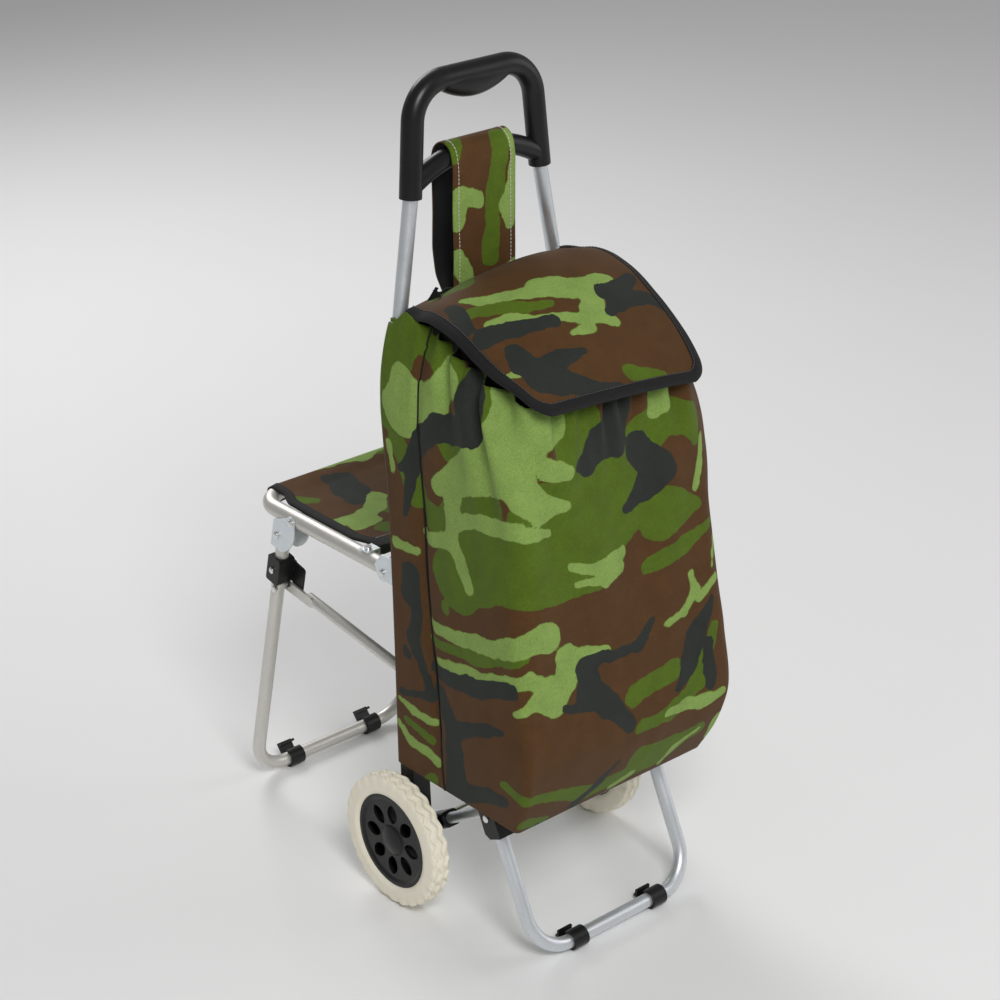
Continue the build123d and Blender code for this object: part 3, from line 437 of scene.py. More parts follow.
LID_PRINT = {
    "green": (
        ((-50, 20, 14), (-65, 40, 14), (-80, 20, 11)),
        ((-105, 90, 7), (-80, 100, 11), (-50, 120, 7), (-20, 130, 5)),
        ((20, 230, 10), (60, 240, 5)), ((125, 145, 4),),
    ),
    "light": (
        ((-90, 70, 4), (-80, 85, 7), (-50, 100, 7), (0, 115, 12), (30, 125, 13), (70, 120, 8)),
        ((-20, 100, 5), (10, 110, 6)), ((40, 130, 13), (20, 155, 14), (40, 170, 6)),
        ((5, 170, 7), (-20, 170, 3)),
        ((-95, 120, 5), (-70, 125, 6), (-45, 140, 4), (10, 160, 7)), ((-120, 185, 3), (-110, 190, 6)),
    ),
    "black": (
        ((50, 135, 10), (75, 135, 12), (110, 115, 6)),
        ((40, 160, 5), (60, 150, 11), (110, 145, 9), (125, 160, 9)),
        ((-110, 125, 11), (-75, 140, 10), (-30, 150, 8)), ((-105, 70, 9), (-115, 105, 8)),
        ((-95, 160, 10), (-95, 185, 15), (-90, 205, 18), (-70, 220, 18), (-35, 240, 10), (0, 245, 5)),
        ((-80, 200, 14), (-50, 195, 10), (-20, 195, 4)),
    ),
}
STRAP_PRINT = {
    "green": (
        ((24, 160, 12), (20, 137, 11), (14, 101, 10), (10, 73, 10), (8, 30, 12)),
        ((-42, 150, 8), (-30, 168, 8)), ((-20, 240, 14), (10, 290, 16)),
    ),
    "light": (
        ((-34, 106, 9), (-8, 95, 9)), ((-34, 100, 8), (-37, 76, 8)), ((-10, 220, 12), (20, 260, 14)),
        ((43, 158, 9), (42, 120, 8), (31, 80, 9), (36, 60, 6)), ((-38, 40, 8), (-28, 20, 9), (-18, 0, 9)),
        ((28, 8, 7), (40, 14, 6)),
    ),
    "black": (((-5, 262, 12), (-32, 300, 12)), ((20, 320, 10), (36, 340, 9))),
}
SEAT_PRINT = {
    "green": (
        ((-98, 180, 12), (-82, 168, 8)), ((-20, 90, 14), (10, 70, 16), (50, 90, 18)),
        ((-60, 60, 14), (-20, 50, 14)), ((60, 225, 12), (95, 210, 14)),
    ),
    "light": (
        ((-46, 238, 6), (-10, 234, 10), (30, 224, 11), (48, 232, 10), (75, 236, 12)),
        ((-20, 132, 14), (-36, 112, 13), (-70, 98, 12), (-110, 106, 8)), ((-60, 88, 10), (-84, 82, 10)),
        ((60, 180, 12), (92, 150, 14)), ((24, 48, 10), (62, 34, 10)),
    ),
    "black": (
        ((-32, 204, 10), (-22, 190, 18), (-30, 165, 22), (-44, 140, 12)),
        ((-120, 40, 16), (-92, 28, 14), (-56, 22, 10)), ((50, 122, 13), (82, 100, 11)),
    ),
}
PRINT_REPEAT = 0.53


def figure_depth(spots, chains):
    """How far each spot lies inside the nearest figure, in metres, and negative outside them all."""
    blend = 0.005
    deepest = np.full(len(spots), -1.0)
    for chain in chains:
        dabs = np.array(chain, float) / 1000
        for first, last in zip(dabs[:max(len(dabs) - 1, 1)], dabs[min(len(dabs) - 1, 1):]):
            run = last[:2] - first[:2]
            share = np.clip((spots - first[:2]) @ run / max(run @ run, 1e-12), 0, 1)
            away = np.linalg.norm(spots - first[:2] - share[:, None] * run, axis=1)
            depth = first[2] + (last[2] - first[2]) * share - away
            meet = np.maximum(blend - np.abs(deepest - depth), 0) / blend
            deepest = np.maximum(deepest, depth) + meet * meet * blend / 4
    return deepest


def print_cloth(piece, spots, figures, seed):
    """Store the print on the piece's points as one depth value for each ink."""
    spots = np.asarray(spots, float).reshape(-1, 2)
    flat = np.column_stack([spots, np.zeros(len(spots))])
    wave = np.column_stack([wander(flat, 0.030, seed), wander(flat, 0.030, seed + 5)])
    spots = spots + 0.0040 * wave
    for ink, chains in figures.items():
        depth = figure_depth(spots, chains)
        if figures is BAG_PRINT:
            depth = np.maximum(depth, figure_depth(spots - (PRINT_REPEAT, 0), chains))
        layer = piece.data.attributes.new(f"print_{ink}", "FLOAT", "POINT")
        layer.data.foreach_set("value", depth.astype(np.float32))


# ---------------------------------------------------------------- finishes
LIGHT_GREEN = (0.245, 0.370, 0.088)
LIGHT_RIM = (0.130, 0.200, 0.028)
DARK_GREEN = (0.088, 0.146, 0.010)
BROWN = (0.092, 0.042, 0.013)
NEAR_BLACK = (0.027, 0.031, 0.026)


def weave(finish, pitch, depth):
    """Plain weave on the cloth's own flat coordinates, in metres."""
    turns = 2 * math.pi / pitch
    split = finish.tree.nodes.new("ShaderNodeSeparateXYZ")
    finish.feed(split.inputs[0], finish.cloth)
    warp = finish.sum("SINE", finish.sum("MULTIPLY", split.outputs[0], turns))
    weft = finish.sum("SINE", finish.sum("MULTIPLY", split.outputs[1], turns))
    threads = finish.sum("MULTIPLY", warp, weft)
    finish.bump(threads, depth, 0.6)
    return threads


def camouflage_cloth():
    """Woodland print in four inks on a coarse coated weave; the figures ride on the mesh as depths."""
    finish = Finish(
        "camouflage_cloth", Roughness=0.66, Sheen_Weight=0.04, Sheen_Roughness=0.4,
        Specular_IOR_Level=0.14,
    )
    ragged = finish.range(finish.noise(finish.place, 95, 1.5, 0.5), 0.2, 0.8, -0.0016, 0.0016)

    def ink(layer, below, colour, spread=0.0):
        stored = finish.tree.nodes.new("ShaderNodeAttribute")
        stored.attribute_name = f"print_{layer}"
        depth = finish.sum("ADD", stored.outputs["Fac"], ragged)
        return finish.mix(finish.range(depth, -0.0003 - spread, 0.0003 - spread), below, colour)

    tone = ink("green", BROWN, DARK_GREEN)
    tone = ink("light", tone, LIGHT_RIM, 0.0007)
    tone = ink("light", tone, LIGHT_GREEN)
    tone = ink("black", tone, NEAR_BLACK)
    threads = weave(finish, 0.0011, 0.00016)
    grain = finish.noise(finish.stretch(finish.place, scale=(1, 1, 0.6)), 900, 2.0, 0.6)
    finish.bump(grain, 0.00025, 0.5)
    shade = finish.range(grain, 0.3, 0.7, 0.80, 1.18)
    # the weave's thread height also goes into the colour: painted shade, lighter on the raised threads and
    # darker in the hollows between them
    shade = finish.sum("ADD", shade, finish.sum("MULTIPLY", threads, 0.06))
    patchy = finish.noise(finish.place, 45, 3.0, 0.55)
    shade = finish.sum("MULTIPLY", shade, finish.range(patchy, 0.3, 0.7, 0.92, 1.08))
    finish.colour(finish.dim(tone, shade))
    finish.rough(finish.range(grain, 0.3, 0.7, 0.58, 0.74))
    return finish.material


def black_cloth(name, base, roughness, pitch):
    """Plain black lining or tape with a fine weave."""
    finish = Finish(name, Roughness=roughness, Sheen_Weight=0.04, Specular_IOR_Level=0.25)
    grain = finish.noise(finish.place, 600, 2.0, 0.6)
    finish.colour(finish.mix(grain, tuple(c * 0.6 for c in base), tuple(c * 1.5 for c in base)))
    finish.bump(grain, 0.0002, 0.5)
    weave(finish, pitch, 0.0002)
    return finish.material


def painted_tube(name, base, metallic, roughness):
    """Silver-painted steel tube with faint mottling and handling marks."""
    finish = Finish(name, base, Metallic=metallic, Roughness=roughness, Specular_IOR_Level=0.5)
    flake = finish.noise(finish.place, 1400, 1.0)
    worn = finish.noise(finish.place, 30, 4.0, 0.6)
    dark, bright = tuple(c * 0.90 for c in base), tuple(min(c * 1.07, 1) for c in base)
    finish.colour(finish.mix(finish.range(flake, 0.3, 0.7), dark, bright))
    finish.rough(finish.range(worn, 0.3, 0.7, roughness - 0.06, roughness + 0.10))
    finish.bump(flake, 0.00003, 0.4)
    return finish.material


def zinc_plate(name):
    """Bright zinc plate: bluish, with soft spangle and rub marks."""
    finish = Finish(name, (0.72, 0.77, 0.80), Metallic=0.75, Roughness=0.38)
    cloud = finish.noise(finish.place, 160, 3.0, 0.6)
    rub = finish.noise(finish.stretch(finish.place, scale=(1, 4, 1)), 420, 2.0)
    finish.colour(finish.mix(cloud, (0.64, 0.70, 0.74), (0.82, 0.86, 0.88)))
    finish.rough(finish.range(rub, 0.3, 0.7, 0.30, 0.48))
    finish.bump(rub, 0.00004, 0.4)
    return finish.material


def moulded_plastic(name, base, roughness, grain_size, grain_depth):
    """Moulded plastic with a fine spark-eroded grain and slightly glossier rubbed places."""
    finish = Finish(name, base, Roughness=roughness, Specular_IOR_Level=0.35)
    grain = finish.noise(finish.place, grain_size, 3.0, 0.6)
    rubbed = finish.noise(finish.place, 22, 3.0, 0.55)
    finish.colour(finish.mix(rubbed, tuple(c * 0.8 for c in base), tuple(c * 1.35 for c in base)))
    finish.rough(finish.range(rubbed, 0.3, 0.7, roughness - 0.07, roughness + 0.09))
    finish.bump(grain, grain_depth, 0.5)
    return finish.material


def foam_rubber(name):
    """Cream foamed tyre: matt, faintly pitted, with faint cloudy changes of tone."""
    finish = Finish(name, (0.70, 0.63, 0.48), Roughness=0.72, Specular_IOR_Level=0.35)
    pits = finish.noise(finish.place, 700, 3.0, 0.6)
    cloud = finish.noise(finish.place, 28, 4.0, 0.6)
    tone = finish.mix(finish.range(cloud, 0.3, 0.7), (0.90, 0.84, 0.68), (0.94, 0.89, 0.75))
    finish.colour(tone)
    finish.rough(finish.range(cloud, 0.3, 0.7, 0.64, 0.80))
    finish.bump(pits, 0.00018, 0.5)
    return finish.material


def thread(name, base):
    finish = Finish(name, base, Roughness=0.6, Sheen_Weight=0.3)
    twist = finish.noise(finish.place, 1800, 1.0)
    finish.colour(finish.mix(twist, tuple(c * 0.75 for c in base), base))
    finish.bump(twist, 0.0001, 0.5)
    return finish.material


def fibre_board(name):
    finish = Finish(name, (0.10, 0.075, 0.05), Roughness=0.85)
    fibre = finish.noise(finish.stretch(finish.place, scale=(1, 3, 1)), 320, 4.0, 0.6)
    finish.colour(finish.mix(fibre, (0.075, 0.055, 0.035), (0.14, 0.105, 0.07)))
    finish.bump(fibre, 0.0003, 0.5)
    return finish.material


camouflage = camouflage_cloth()
lining = black_cloth("black_lining_cloth", (0.006, 0.006, 0.007), 0.55, 0.0009)
tape = black_cloth("black_binding_tape", (0.008, 0.008, 0.008), 0.75, 0.0012)
silver = painted_tube("silver_painted_tube", (0.72, 0.75, 0.78), 0.82, 0.40)
grey = painted_tube("light_grey_tube", (0.68, 0.66, 0.62), 0.72, 0.42)
bright = painted_tube("bright_steel", (0.75, 0.75, 0.74), 1.0, 0.18)
zinc = zinc_plate("zinc_plated_sheet")
handle_black = moulded_plastic("handle_plastic", (0.006, 0.006, 0.007), 0.34, 900, 0.00006)
fitting_black = moulded_plastic("fitting_plastic", (0.006, 0.006, 0.006), 0.36, 700, 0.00006)
wheel_black = moulded_plastic("wheel_plastic", (0.005, 0.005, 0.005), 0.40, 800, 0.00008)
bush_white = moulded_plastic("bush_plastic", (0.55, 0.54, 0.50), 0.5, 500, 0.00004)
foam = foam_rubber("cream_foam_rubber")
white_thread = thread("white_thread", (0.72, 0.70, 0.64))
black_thread = thread("black_thread", (0.03, 0.03, 0.03))
board = fibre_board("fibre_board")

NODE_FINISH = {
    silver: ("main_tube_left", "main_tube_right", "front_foot_tube", "shelf_tube"),
    grey: ("seat_tube", "rear_leg_tube", "brace_left", "brace_right", "seat_cross_bar"),
    bright: (
        "axle_rod", "axle_washers", "push_nuts", "foot_rivets", "seat_hinge_rivets", "leg_pivot_rivets",
        "leg_plate_rivets", "brace_rivets", "brace_pegs", "handle_screws", "brace_clip_screws",
        "seat_bar_bolts",
    ),
    zinc: (
        "seat_hinge_plates_left", "seat_hinge_plates_right", "leg_hinge_plates_left",
        "leg_hinge_plates_right", "seat_bar_brackets",
    ),
    handle_black: ("handle",),
    fitting_black: (
        "wheel_bracket_left", "wheel_bracket_right", "foot_bracket_left", "foot_bracket_right",
        "brace_clip_left", "brace_clip_right", "front_foot_clips", "rear_leg_clips",
    ),
    wheel_black: ("hub_left", "hub_right", "wheel_cap_left", "wheel_cap_right"),
    bush_white: ("wheel_bush_left", "wheel_bush_right"),
    board: ("bag_board",),
}
for finish, names in NODE_FINISH.items():
    for name in names:
        if not nodes[name].material_slots:
            nodes[name].data.materials.append(finish)
        for slot in nodes[name].material_slots:
            slot.material = finish

stitches = stitch_tree()
heads = head_tree()


def stitch_row(name, body, points, material=white_thread, closed=False, **sizes):
    """A row of stitches along the points, riding on a body."""
    row = path_curve(name, points, closed)
    grow(row, stitches, Material=material, **sizes)
    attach(row, body)


# ---------------------------------------------------------------- camera, floor and light
camera = bpy.data.objects.new("camera", bpy.data.cameras.new("camera"))
bpy.context.scene.collection.objects.link(camera)
camera.location = (-1.64424, -1.93148, 1.6320)
camera.rotation_euler = (math.radians(64.714), 0, math.radians(-41.329))
camera.data.lens, camera.data.sensor_width = 90.69, 36.0
bpy.context.scene.camera = camera
bpy.context.scene.view_settings.view_transform = "Standard"
bpy.context.scene.view_settings.look = "None"


def soft_light(name, place, aim, size, power):
    lamp = bpy.data.lights.new(name, "AREA")
    lamp.shape, lamp.size, lamp.energy = "DISK", size, power
    light = bpy.data.objects.new(name, lamp)
    light.location = place
    light.rotation_euler = (Vector(aim) - Vector(place)).to_track_quat("-Z", "Y").to_euler()
    bpy.context.scene.collection.objects.link(light)


middle = (cad_box[0] + cad_box[1]) / 2
soft_light("key", (-1.15, -2.2, 2.6), middle, 1.2, 50)
soft_light("fill", (2.4, -1.6, 1.5), middle, 2.0, 16)
soft_light("back", (0.6, 2.4, 2.2), middle, 1.6, 34)
world = bpy.data.worlds.new("studio")
world.use_nodes = True
sky = world.node_tree.nodes["Background"]
sky.inputs["Color"].default_value = (1, 1, 1, 1)
sky.inputs["Strength"].default_value = 0.30
bpy.context.scene.world = world

floor_finish = Finish("pale_floor", (0.90, 0.90, 0.90), Roughness=0.9)
floor_tint = floor_finish.noise(floor_finish.place, 3, 2.0)
floor_finish.colour(floor_finish.mix(floor_tint, (0.89, 0.89, 0.89), (0.91, 0.91, 0.91)))
FLOOR_HALF, FLOOR_Z = 20.0, -0.0004
floor_grid = np.array([
    [(x * FLOOR_HALF, y * FLOOR_HALF, FLOOR_Z) for x in (-1, 1)] for y in (-1, 1)
])
floor = grid_piece("floor", floor_grid, [floor_finish.material])


# ---------------------------------------------------------------- bag
RIM_Z, GATHER_Z = 0.706, 0.690
bag_back_gap = tube_radius + 0.0015
rim_back_y = tube_y(RIM_Z) - bag_back_gap
rim_slope = math.tan(math.atan2(0.054, 0.176))
RING_Z = (bag_bottom, 0.205, 0.250, 0.330, 0.400, 0.480, 0.600, 0.660, 0.730)
RING_HALF = (0.1380, 0.1455, 0.1520, 0.1500, 0.1465, 0.1430, 0.1395, 0.1310, 0.1100)
RING_FRONT = (0.1900, 0.2070, 0.2210, 0.2160, 0.2090, 0.2010, 0.1890, 0.1780, 0.1540)
RING_CORNER = (0.006, 0.008, 0.011, 0.016, 0.021, 0.027, 0.036, 0.040, 0.044)
SEAM_Z = (bag_bottom, 0.330, 0.420, 0.530, 0.650, 0.730)
SEAM_Y = (-0.1280, -0.1080, -0.0960, -0.0880, -0.0850, -0.0850)
FIN_Z = (bag_bottom, 0.250, 0.400, 0.500, 0.560, 0.600, 0.640, 0.670, 0.690, 0.730)
FIN_X = (0.1380, 0.1365, 0.1345, 0.1345, 0.1375, 0.1385, 0.1350, 0.1280, 0.1215, 0.1130)
BACK_END, FIN_TIP, FIN_END, SIDE_END, CORNER_END = 0.20, 0.22, 0.235, 0.58, 0.65


def ring_point(share, height):
    """Place on the bag's outer skin: share runs round from the back's middle by way of the left side.

    The side panels reach back past the main tubes, so each back corner is a narrow fin outside its tube.
    """
    half = soft_curve(height, RING_Z, RING_HALF)
    front = axle.y - soft_curve(height, RING_Z, RING_FRONT)
    corner = soft_curve(height, RING_Z, RING_CORNER)
    back = tube_y(height) - bag_back_gap
    fin_out = soft_curve(height, FIN_Z, FIN_X)
    fin_in = np.maximum(fin_out - 0.0045, tube_x(height) + tube_radius + 0.0012)
    round_r = (fin_out - fin_in) / 2
    tip = tube_y(height) + 0.003
    side = np.where(share > 0.5, 1.0, -1.0)
    walk = np.where(share > 0.5, 1 - share, share) * 2

    def part(low, high):
        return np.clip((walk - low) / (high - low), 0, 1)

    t = part(0, BACK_END)
    x, y = t * fin_in, back
    t = part(BACK_END, FIN_TIP)
    x = np.where(walk > BACK_END, fin_in, x)
    y = np.where(walk > BACK_END, back + t * (tip - back), y)
    t = part(FIN_TIP, FIN_END) * math.pi
    x = np.where(walk > FIN_TIP, fin_in + round_r * (1 - np.cos(t)), x)
    y = np.where(walk > FIN_TIP, tip + round_r * np.sin(t), y)
    t = part(FIN_END, SIDE_END)
    x = np.where(walk > FIN_END, fin_out + (half - fin_out) * smooth_step(t, -0.2, 1.1), x)
    y = np.where(walk > FIN_END, tip + t * (front + corner - tip), y)
    t = part(SIDE_END, CORNER_END) * math.pi / 2
    x = np.where(walk > SIDE_END, half - corner + corner * np.cos(t), x)
    y = np.where(walk > SIDE_END, front + corner - corner * np.sin(t), y)
    t = part(CORNER_END, 1)
    x = np.where(walk > CORNER_END, (1 - t) * (half - corner), x)
    y = np.where(walk > CORNER_END, front, y)
    return side * x, y


# long soft folds that hang from the gathers: place round the bag from its front's middle, lean,
# width, depth and reach
FOLDS = (
    (-0.250, 0.10, 0.012, 0.009, 0.15), (-0.195, 0.20, 0.010, 0.011, 0.17),
    (-0.150, 0.30, 0.013, 0.012, 0.20), (-0.105, 0.10, 0.009, 0.007, 0.08),
    (-0.045, -0.05, 0.008, 0.008, 0.07), (-0.015, 0.00, 0.006, 0.009, 0.08),
    (0.012, -0.05, 0.007, 0.009, 0.06), (0.040, -0.15, 0.008, 0.011, 0.11),
    (0.070, -0.20, 0.010, 0.012, 0.15), (0.105, -0.25, 0.010, 0.009, 0.12),
    (0.150, -0.20, 0.012, 0.010, 0.15), (0.205, -0.10, 0.012, 0.010, 0.16),
    (0.260, 0.00, 0.012, 0.009, 0.14),
)


def bag_skin():
    """Grid of points up the bag from its bottom edge to the gathered mouth."""
    columns, rows = 264, 150
    share = (np.arange(columns) + 0.5) / columns
    x_top, y_top = ring_point(share, np.full(columns, GATHER_Z))
    rim = RIM_Z + (np.minimum(y_top, rim_back_y) - rim_back_y) * rim_slope
    back_panel = smooth_step(y_top, rim_back_y - 0.030, rim_back_y - 0.004)
    rim = rim + back_panel * (1 - smooth_step(np.abs(x_top), 0.060, 0.100)) * 0.006
    rim = rim - 0.021 * smooth_step(y_top, rim_back_y - 0.014, rim_back_y + 0.008)
    rise = np.linspace(0, 1, rows) ** 0.92
    height = bag_bottom + rise[:, None] * (rim - bag_bottom)[None, :]
    x, y = ring_point(np.tile(share, (rows, 1)), height)
    points = np.stack([x, y, height], axis=2)
    # outward direction in each row
    along = np.roll(points, -1, 1) - np.roll(points, 1, 1)
    out = np.stack([-along[..., 1], along[..., 0], np.zeros_like(x)], axis=2)
    out /= np.maximum(np.linalg.norm(out, axis=2, keepdims=True), 1e-9)
    out *= np.sign((out[..., 0] * x + out[..., 1] * (y - (axle.y - 0.09))).mean())
    below = rim[None, :] - height
    belt = points[rows // 2]
    around = np.cumsum(np.linalg.norm(np.diff(belt, axis=0, prepend=belt[:1]), axis=1))
    around -= (around[columns // 2 - 1] + around[columns // 2]) / 2
    line = on_line(around)
    swing = 5 * wander(line, 0.08, 3.0)
    strength = 0.65 + 0.45 * wander(line, 0.05, 8.0)
    wide = np.sin(around / 0.0150 * math.pi + swing) * strength
    fine = np.sin(around / 0.0070 * math.pi + 2.3 * swing)
    gather = 0.0062 * wide * np.exp(-below / 0.042) + 0.0020 * fine * np.exp(-below / 0.020)
    folds = np.zeros_like(below)
    for place, slant, width, depth, reach in FOLDS:
        spread = width * (1 + 1.6 * below / reach)
        gap = (around[None, :] - place - slant * below) / spread
        wave = 0.55 * np.exp(-(gap - 1.4) ** 2) - np.exp(-gap ** 2)
        folds += depth * wave * np.exp(-(below / reach) ** 1.5)
    tuck = -0.0080 * np.exp(-below / 0.016)
    seam_y = soft_curve(height, SEAM_Z, SEAM_Y)
    widest = np.abs(x).max(axis=1, keepdims=True)
    on_side = smooth_step(np.abs(x), 0.6 * widest, 0.9 * widest)
    valley = np.exp(-((y - seam_y) / 0.0055) ** 2) + 0.45 * np.exp(-((y - seam_y) / 0.028) ** 2)
    valley *= -0.0050 * on_side * smooth_step(height, bag_bottom - 0.01, bag_bottom + 0.10)
    lumps = 0.0036 * wander(points * (1, 1, 0.75), 0.130, 11.0) + 0.0010 * wander(points, 0.045, 12.0)
    slant_place = np.stack([x + y, 0.45 * height, 0 * x], axis=2)
    creases = 0.0014 * wander(slant_place * (2.2, 1.0, 1.0), 0.060, 15.0) * smooth_step(below, 0.02, 0.12)
    firm = smooth_step(height, bag_bottom, bag_bottom + 0.05)
    back_hold = 1 - 0.95 * smooth_step(y, rim_back_y - 0.060, rim_back_y - 0.016)
    shift = (gather + folds + tuck + valley + (lumps + creases) * firm) * back_hold
    points = points + out * shift[..., None]
    inside = np.abs(x) < tube_x(height) + tube_radius
    limit = tube_y(height) - bag_back_gap + 0.0005
    points[..., 1] = np.where(inside, np.minimum(points[..., 1], limit), points[..., 1])
    return points


def print_place(points):
    """Place on the flat print: round the bag from its front's middle, and up; the back is its own panel."""
    x, y, z = points[..., 0], points[..., 1], points[..., 2]
    walk = (np.arange(points.shape[1]) + 0.5) / points.shape[1]
    walk = np.where(walk > 0.5, 1 - walk, walk) * 2
    front = axle.y - soft_curve(z, RING_Z, RING_FRONT)
    across = np.sign(x) * (np.abs(x) + np.maximum(y - front, 0))
    across = np.where(walk[None, :] < BACK_END, -0.13 - x, across)
    return np.stack([across, np.where(walk[None, :] < BACK_END, 0.86 - z, z)], axis=2)


skin = bag_skin()
# the bottom panel closes the skin in shrinking rings
panel_rows = 14
centre = np.array([0, skin[0, :, 1].mean(), bag_bottom])
shrink = np.linspace(0, 1, panel_rows, endpoint=False)[:, None, None]
floor_rows = centre + (skin[0][None] - centre) * shrink
floor_rows[0] = centre + (skin[0] - centre) * 0.02
whole = np.concatenate([floor_rows, skin], axis=0)
bottom_print = np.stack([floor_rows[..., 0] - 0.05, floor_rows[..., 1] + 0.6], axis=2)
bag_shell = grid_piece("bag_shell", whole, [camouflage, lining], wrap=True, cap=True)
print_cloth(bag_shell, np.concatenate([bottom_print, print_place(skin)], axis=0), BAG_PRINT, 2.0)
thicken(bag_shell, 0.0012, inside=1)
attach(bag_shell, "frame")
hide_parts("bag_body")


def seam_line(side, lift):
    """Line of the side seam on the skin, lifted off the cloth."""
    half = skin.shape[1] // 2
    block = skin[:, :half] if side < 0 else skin[:, half:]
    line = []
    for row in block:
        seam = soft_curve(row[:, 2], SEAM_Z, SEAM_Y)
        flank = np.abs(row[:, 0]) > 0.86 * np.abs(row[:, 0]).max()
        error = np.where(flank, np.abs(row[:, 1] - seam), 9)
        spot = row[np.argmin(error)].copy()
        spot[1] = seam[np.argmin(error)]
        spot[0] += side * lift
        line.append(spot)
    return np.array(line)


def tape_strip(name, line, across, out, width, thickness, material, body):
    """Folded tape along a line: a flat band of this width, its faces rounded over."""
    profile = ((-1, 0), (-0.8, 0.8), (0, 1), (0.8, 0.8), (1, 0), (0.8, -0.6), (0, -0.8), (-0.8, -0.6))
    rows = [line + across * (a * width / 2) + out * (b * thickness) for a, b in profile]
    piece = grid_piece(name, np.stack(rows, axis=1), [material], wrap=True)
    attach(piece, body)
    return piece


for side, label in ((-1, "left"), (1, "right")):
    line = seam_line(side, 0.0006)
    seam = tape_strip(
        f"bag_seam_{label}", line, np.array([0, 1.0, 0]), np.array([side, 0, 0]), 0.0020, 0.0007,
        tape, "frame",
    )


# ---------------------------------------------------------------- gathered collar under the lid
def collar_points():
    columns, rows = 420, 26
    share = (np.arange(columns) + 0.5) / columns
    up = np.linspace(-0.026, 0.012, rows)
    x, y = ring_point(share, np.full(columns, GATHER_Z))
    base = RIM_Z + (y - rim_back_y) * rim_slope
    height = base[None, :] + up[:, None]
    x, y = ring_point(np.tile(share, (rows, 1)), np.full((rows, columns), GATHER_Z))
    # between the main tubes at the back, and as wide as the bag further forward
    room = tube_x(GATHER_Z) - tube_radius - 0.004 + 0.030 * smooth_step(rim_back_y - y, 0, 0.050)
    x, y = np.clip(x, -room, room), np.minimum(y, rim_back_y)
    centre_y = (y.max() + y.min()) / 2
    around = np.linspace(0, 0.80, columns)
    line = on_line(around)
    swing = 5 * wander(line, 0.05, 21.0)
    ripple = np.sin(around / 0.0085 * math.pi + swing) * (0.6 + 0.4 * wander(line, 0.03, 22.0))
    lean_in = 0.0105 + 0.010 * smooth_step(up, -0.01, 0.02)[:, None]
    lean_in = lean_in - 0.0019 * ripple * (0.4 + 0.6 * smooth_step(up, -0.02, 0.008)[:, None])
    scale_x = 1 - lean_in / np.abs(x).max()
    scale_y = 1 - lean_in / (y.max() - centre_y)
    height = height + 0.0016 * ripple * smooth_step(up, 0, 0.02)[:, None]
    return np.stack([x * scale_x, centre_y + (y - centre_y) * scale_y, height], axis=2)


collar = grid_piece("gathered_collar", collar_points(), [lining], wrap=True)
thicken(collar, 0.0008)
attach(collar, "frame")
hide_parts("bag_collar")


# ---------------------------------------------------------------- lid flap
hinge = joints["flap_open"]["pos_m"]
hinge_y, hinge_z = hinge[1], hinge[2]
FLAP_Y = tuple(hinge_y - away for away in (0, 0.018, 0.045, 0.085, 0.125, 0.165)) + (nose_y,)
FLAP_Z = tuple(hinge_z + rise for rise in (0, 0.013, 0.025, 0.022, 0.004, -0.026, -0.070))
flap_reach = np.concatenate([[0], np.cumsum(np.hypot(np.diff(FLAP_Y), np.diff(FLAP_Z)))])
flap_length = flap_reach[-1]


def flap_half(down):
    """Half width of the lid at this distance down from its hinge, with rounded front corners."""
    half = soft_curve(
        down, np.array([0, 0.25, 0.55, 0.85, 1]) * flap_length, (0.112, 0.1265, 0.1300, 0.1265, 0.1180),
    )
    radius = 0.024
    into = np.clip((down - (flap_length - radius)) / radius, 0, 1)
    return half - radius * (1 - np.sqrt(1 - np.minimum(into, 0.9999) ** 2))


def on_flap(across, down, lift=0.0):
    """Place on the lid from its flat coordinates: crowned across, and drooping at its sides."""
    across, down = np.asarray(across, float), np.asarray(down, float)
    y = soft_curve(down, flap_reach, FLAP_Y)
    z = soft_curve(down, flap_reach, FLAP_Z)
    share = across / 0.126
    edge = np.abs(share)
    droop = 0.024 * edge ** 2.2 * (1 - 0.85 * smooth_step(down, 0.5 * flap_length, flap_length))
    droop = droop * smooth_step(down, -0.02, 0.04)
    twist = share * (0.009 - 0.019 * smooth_step(down, 0.2 * flap_length, flap_length))
    ripple = 0.0018 * np.sin(down / 0.075 * math.pi + 1.1) * edge ** 2 * np.sign(across)
    x = across * (1 - 0.02 * edge ** 2)
    return np.stack([x, y, z - droop + twist + ripple + lift], axis=-1)


flap_rows, flap_columns = 90, 90
down = flap_length * (1 - (1 - np.linspace(0, 1, flap_rows)) ** 1.25)
across = np.linspace(-1, 1, flap_columns)
flap_flat = np.stack([
    flap_half(down)[:, None] * across[None, :], np.tile(down[:, None], (1, flap_columns)),
], axis=2)
flap_points = on_flap(flap_flat[..., 0], flap_flat[..., 1])
flap_points[..., 2] += 0.0010 * wander(flap_points, 0.05, 31.0)
lid = grid_piece("lid_flap", flap_points[::-1], [camouflage, lining], flat=flap_flat[::-1])
print_cloth(lid, flap_flat[::-1], LID_PRINT, 7.0)
thicken(lid, 0.0018, inside=1)


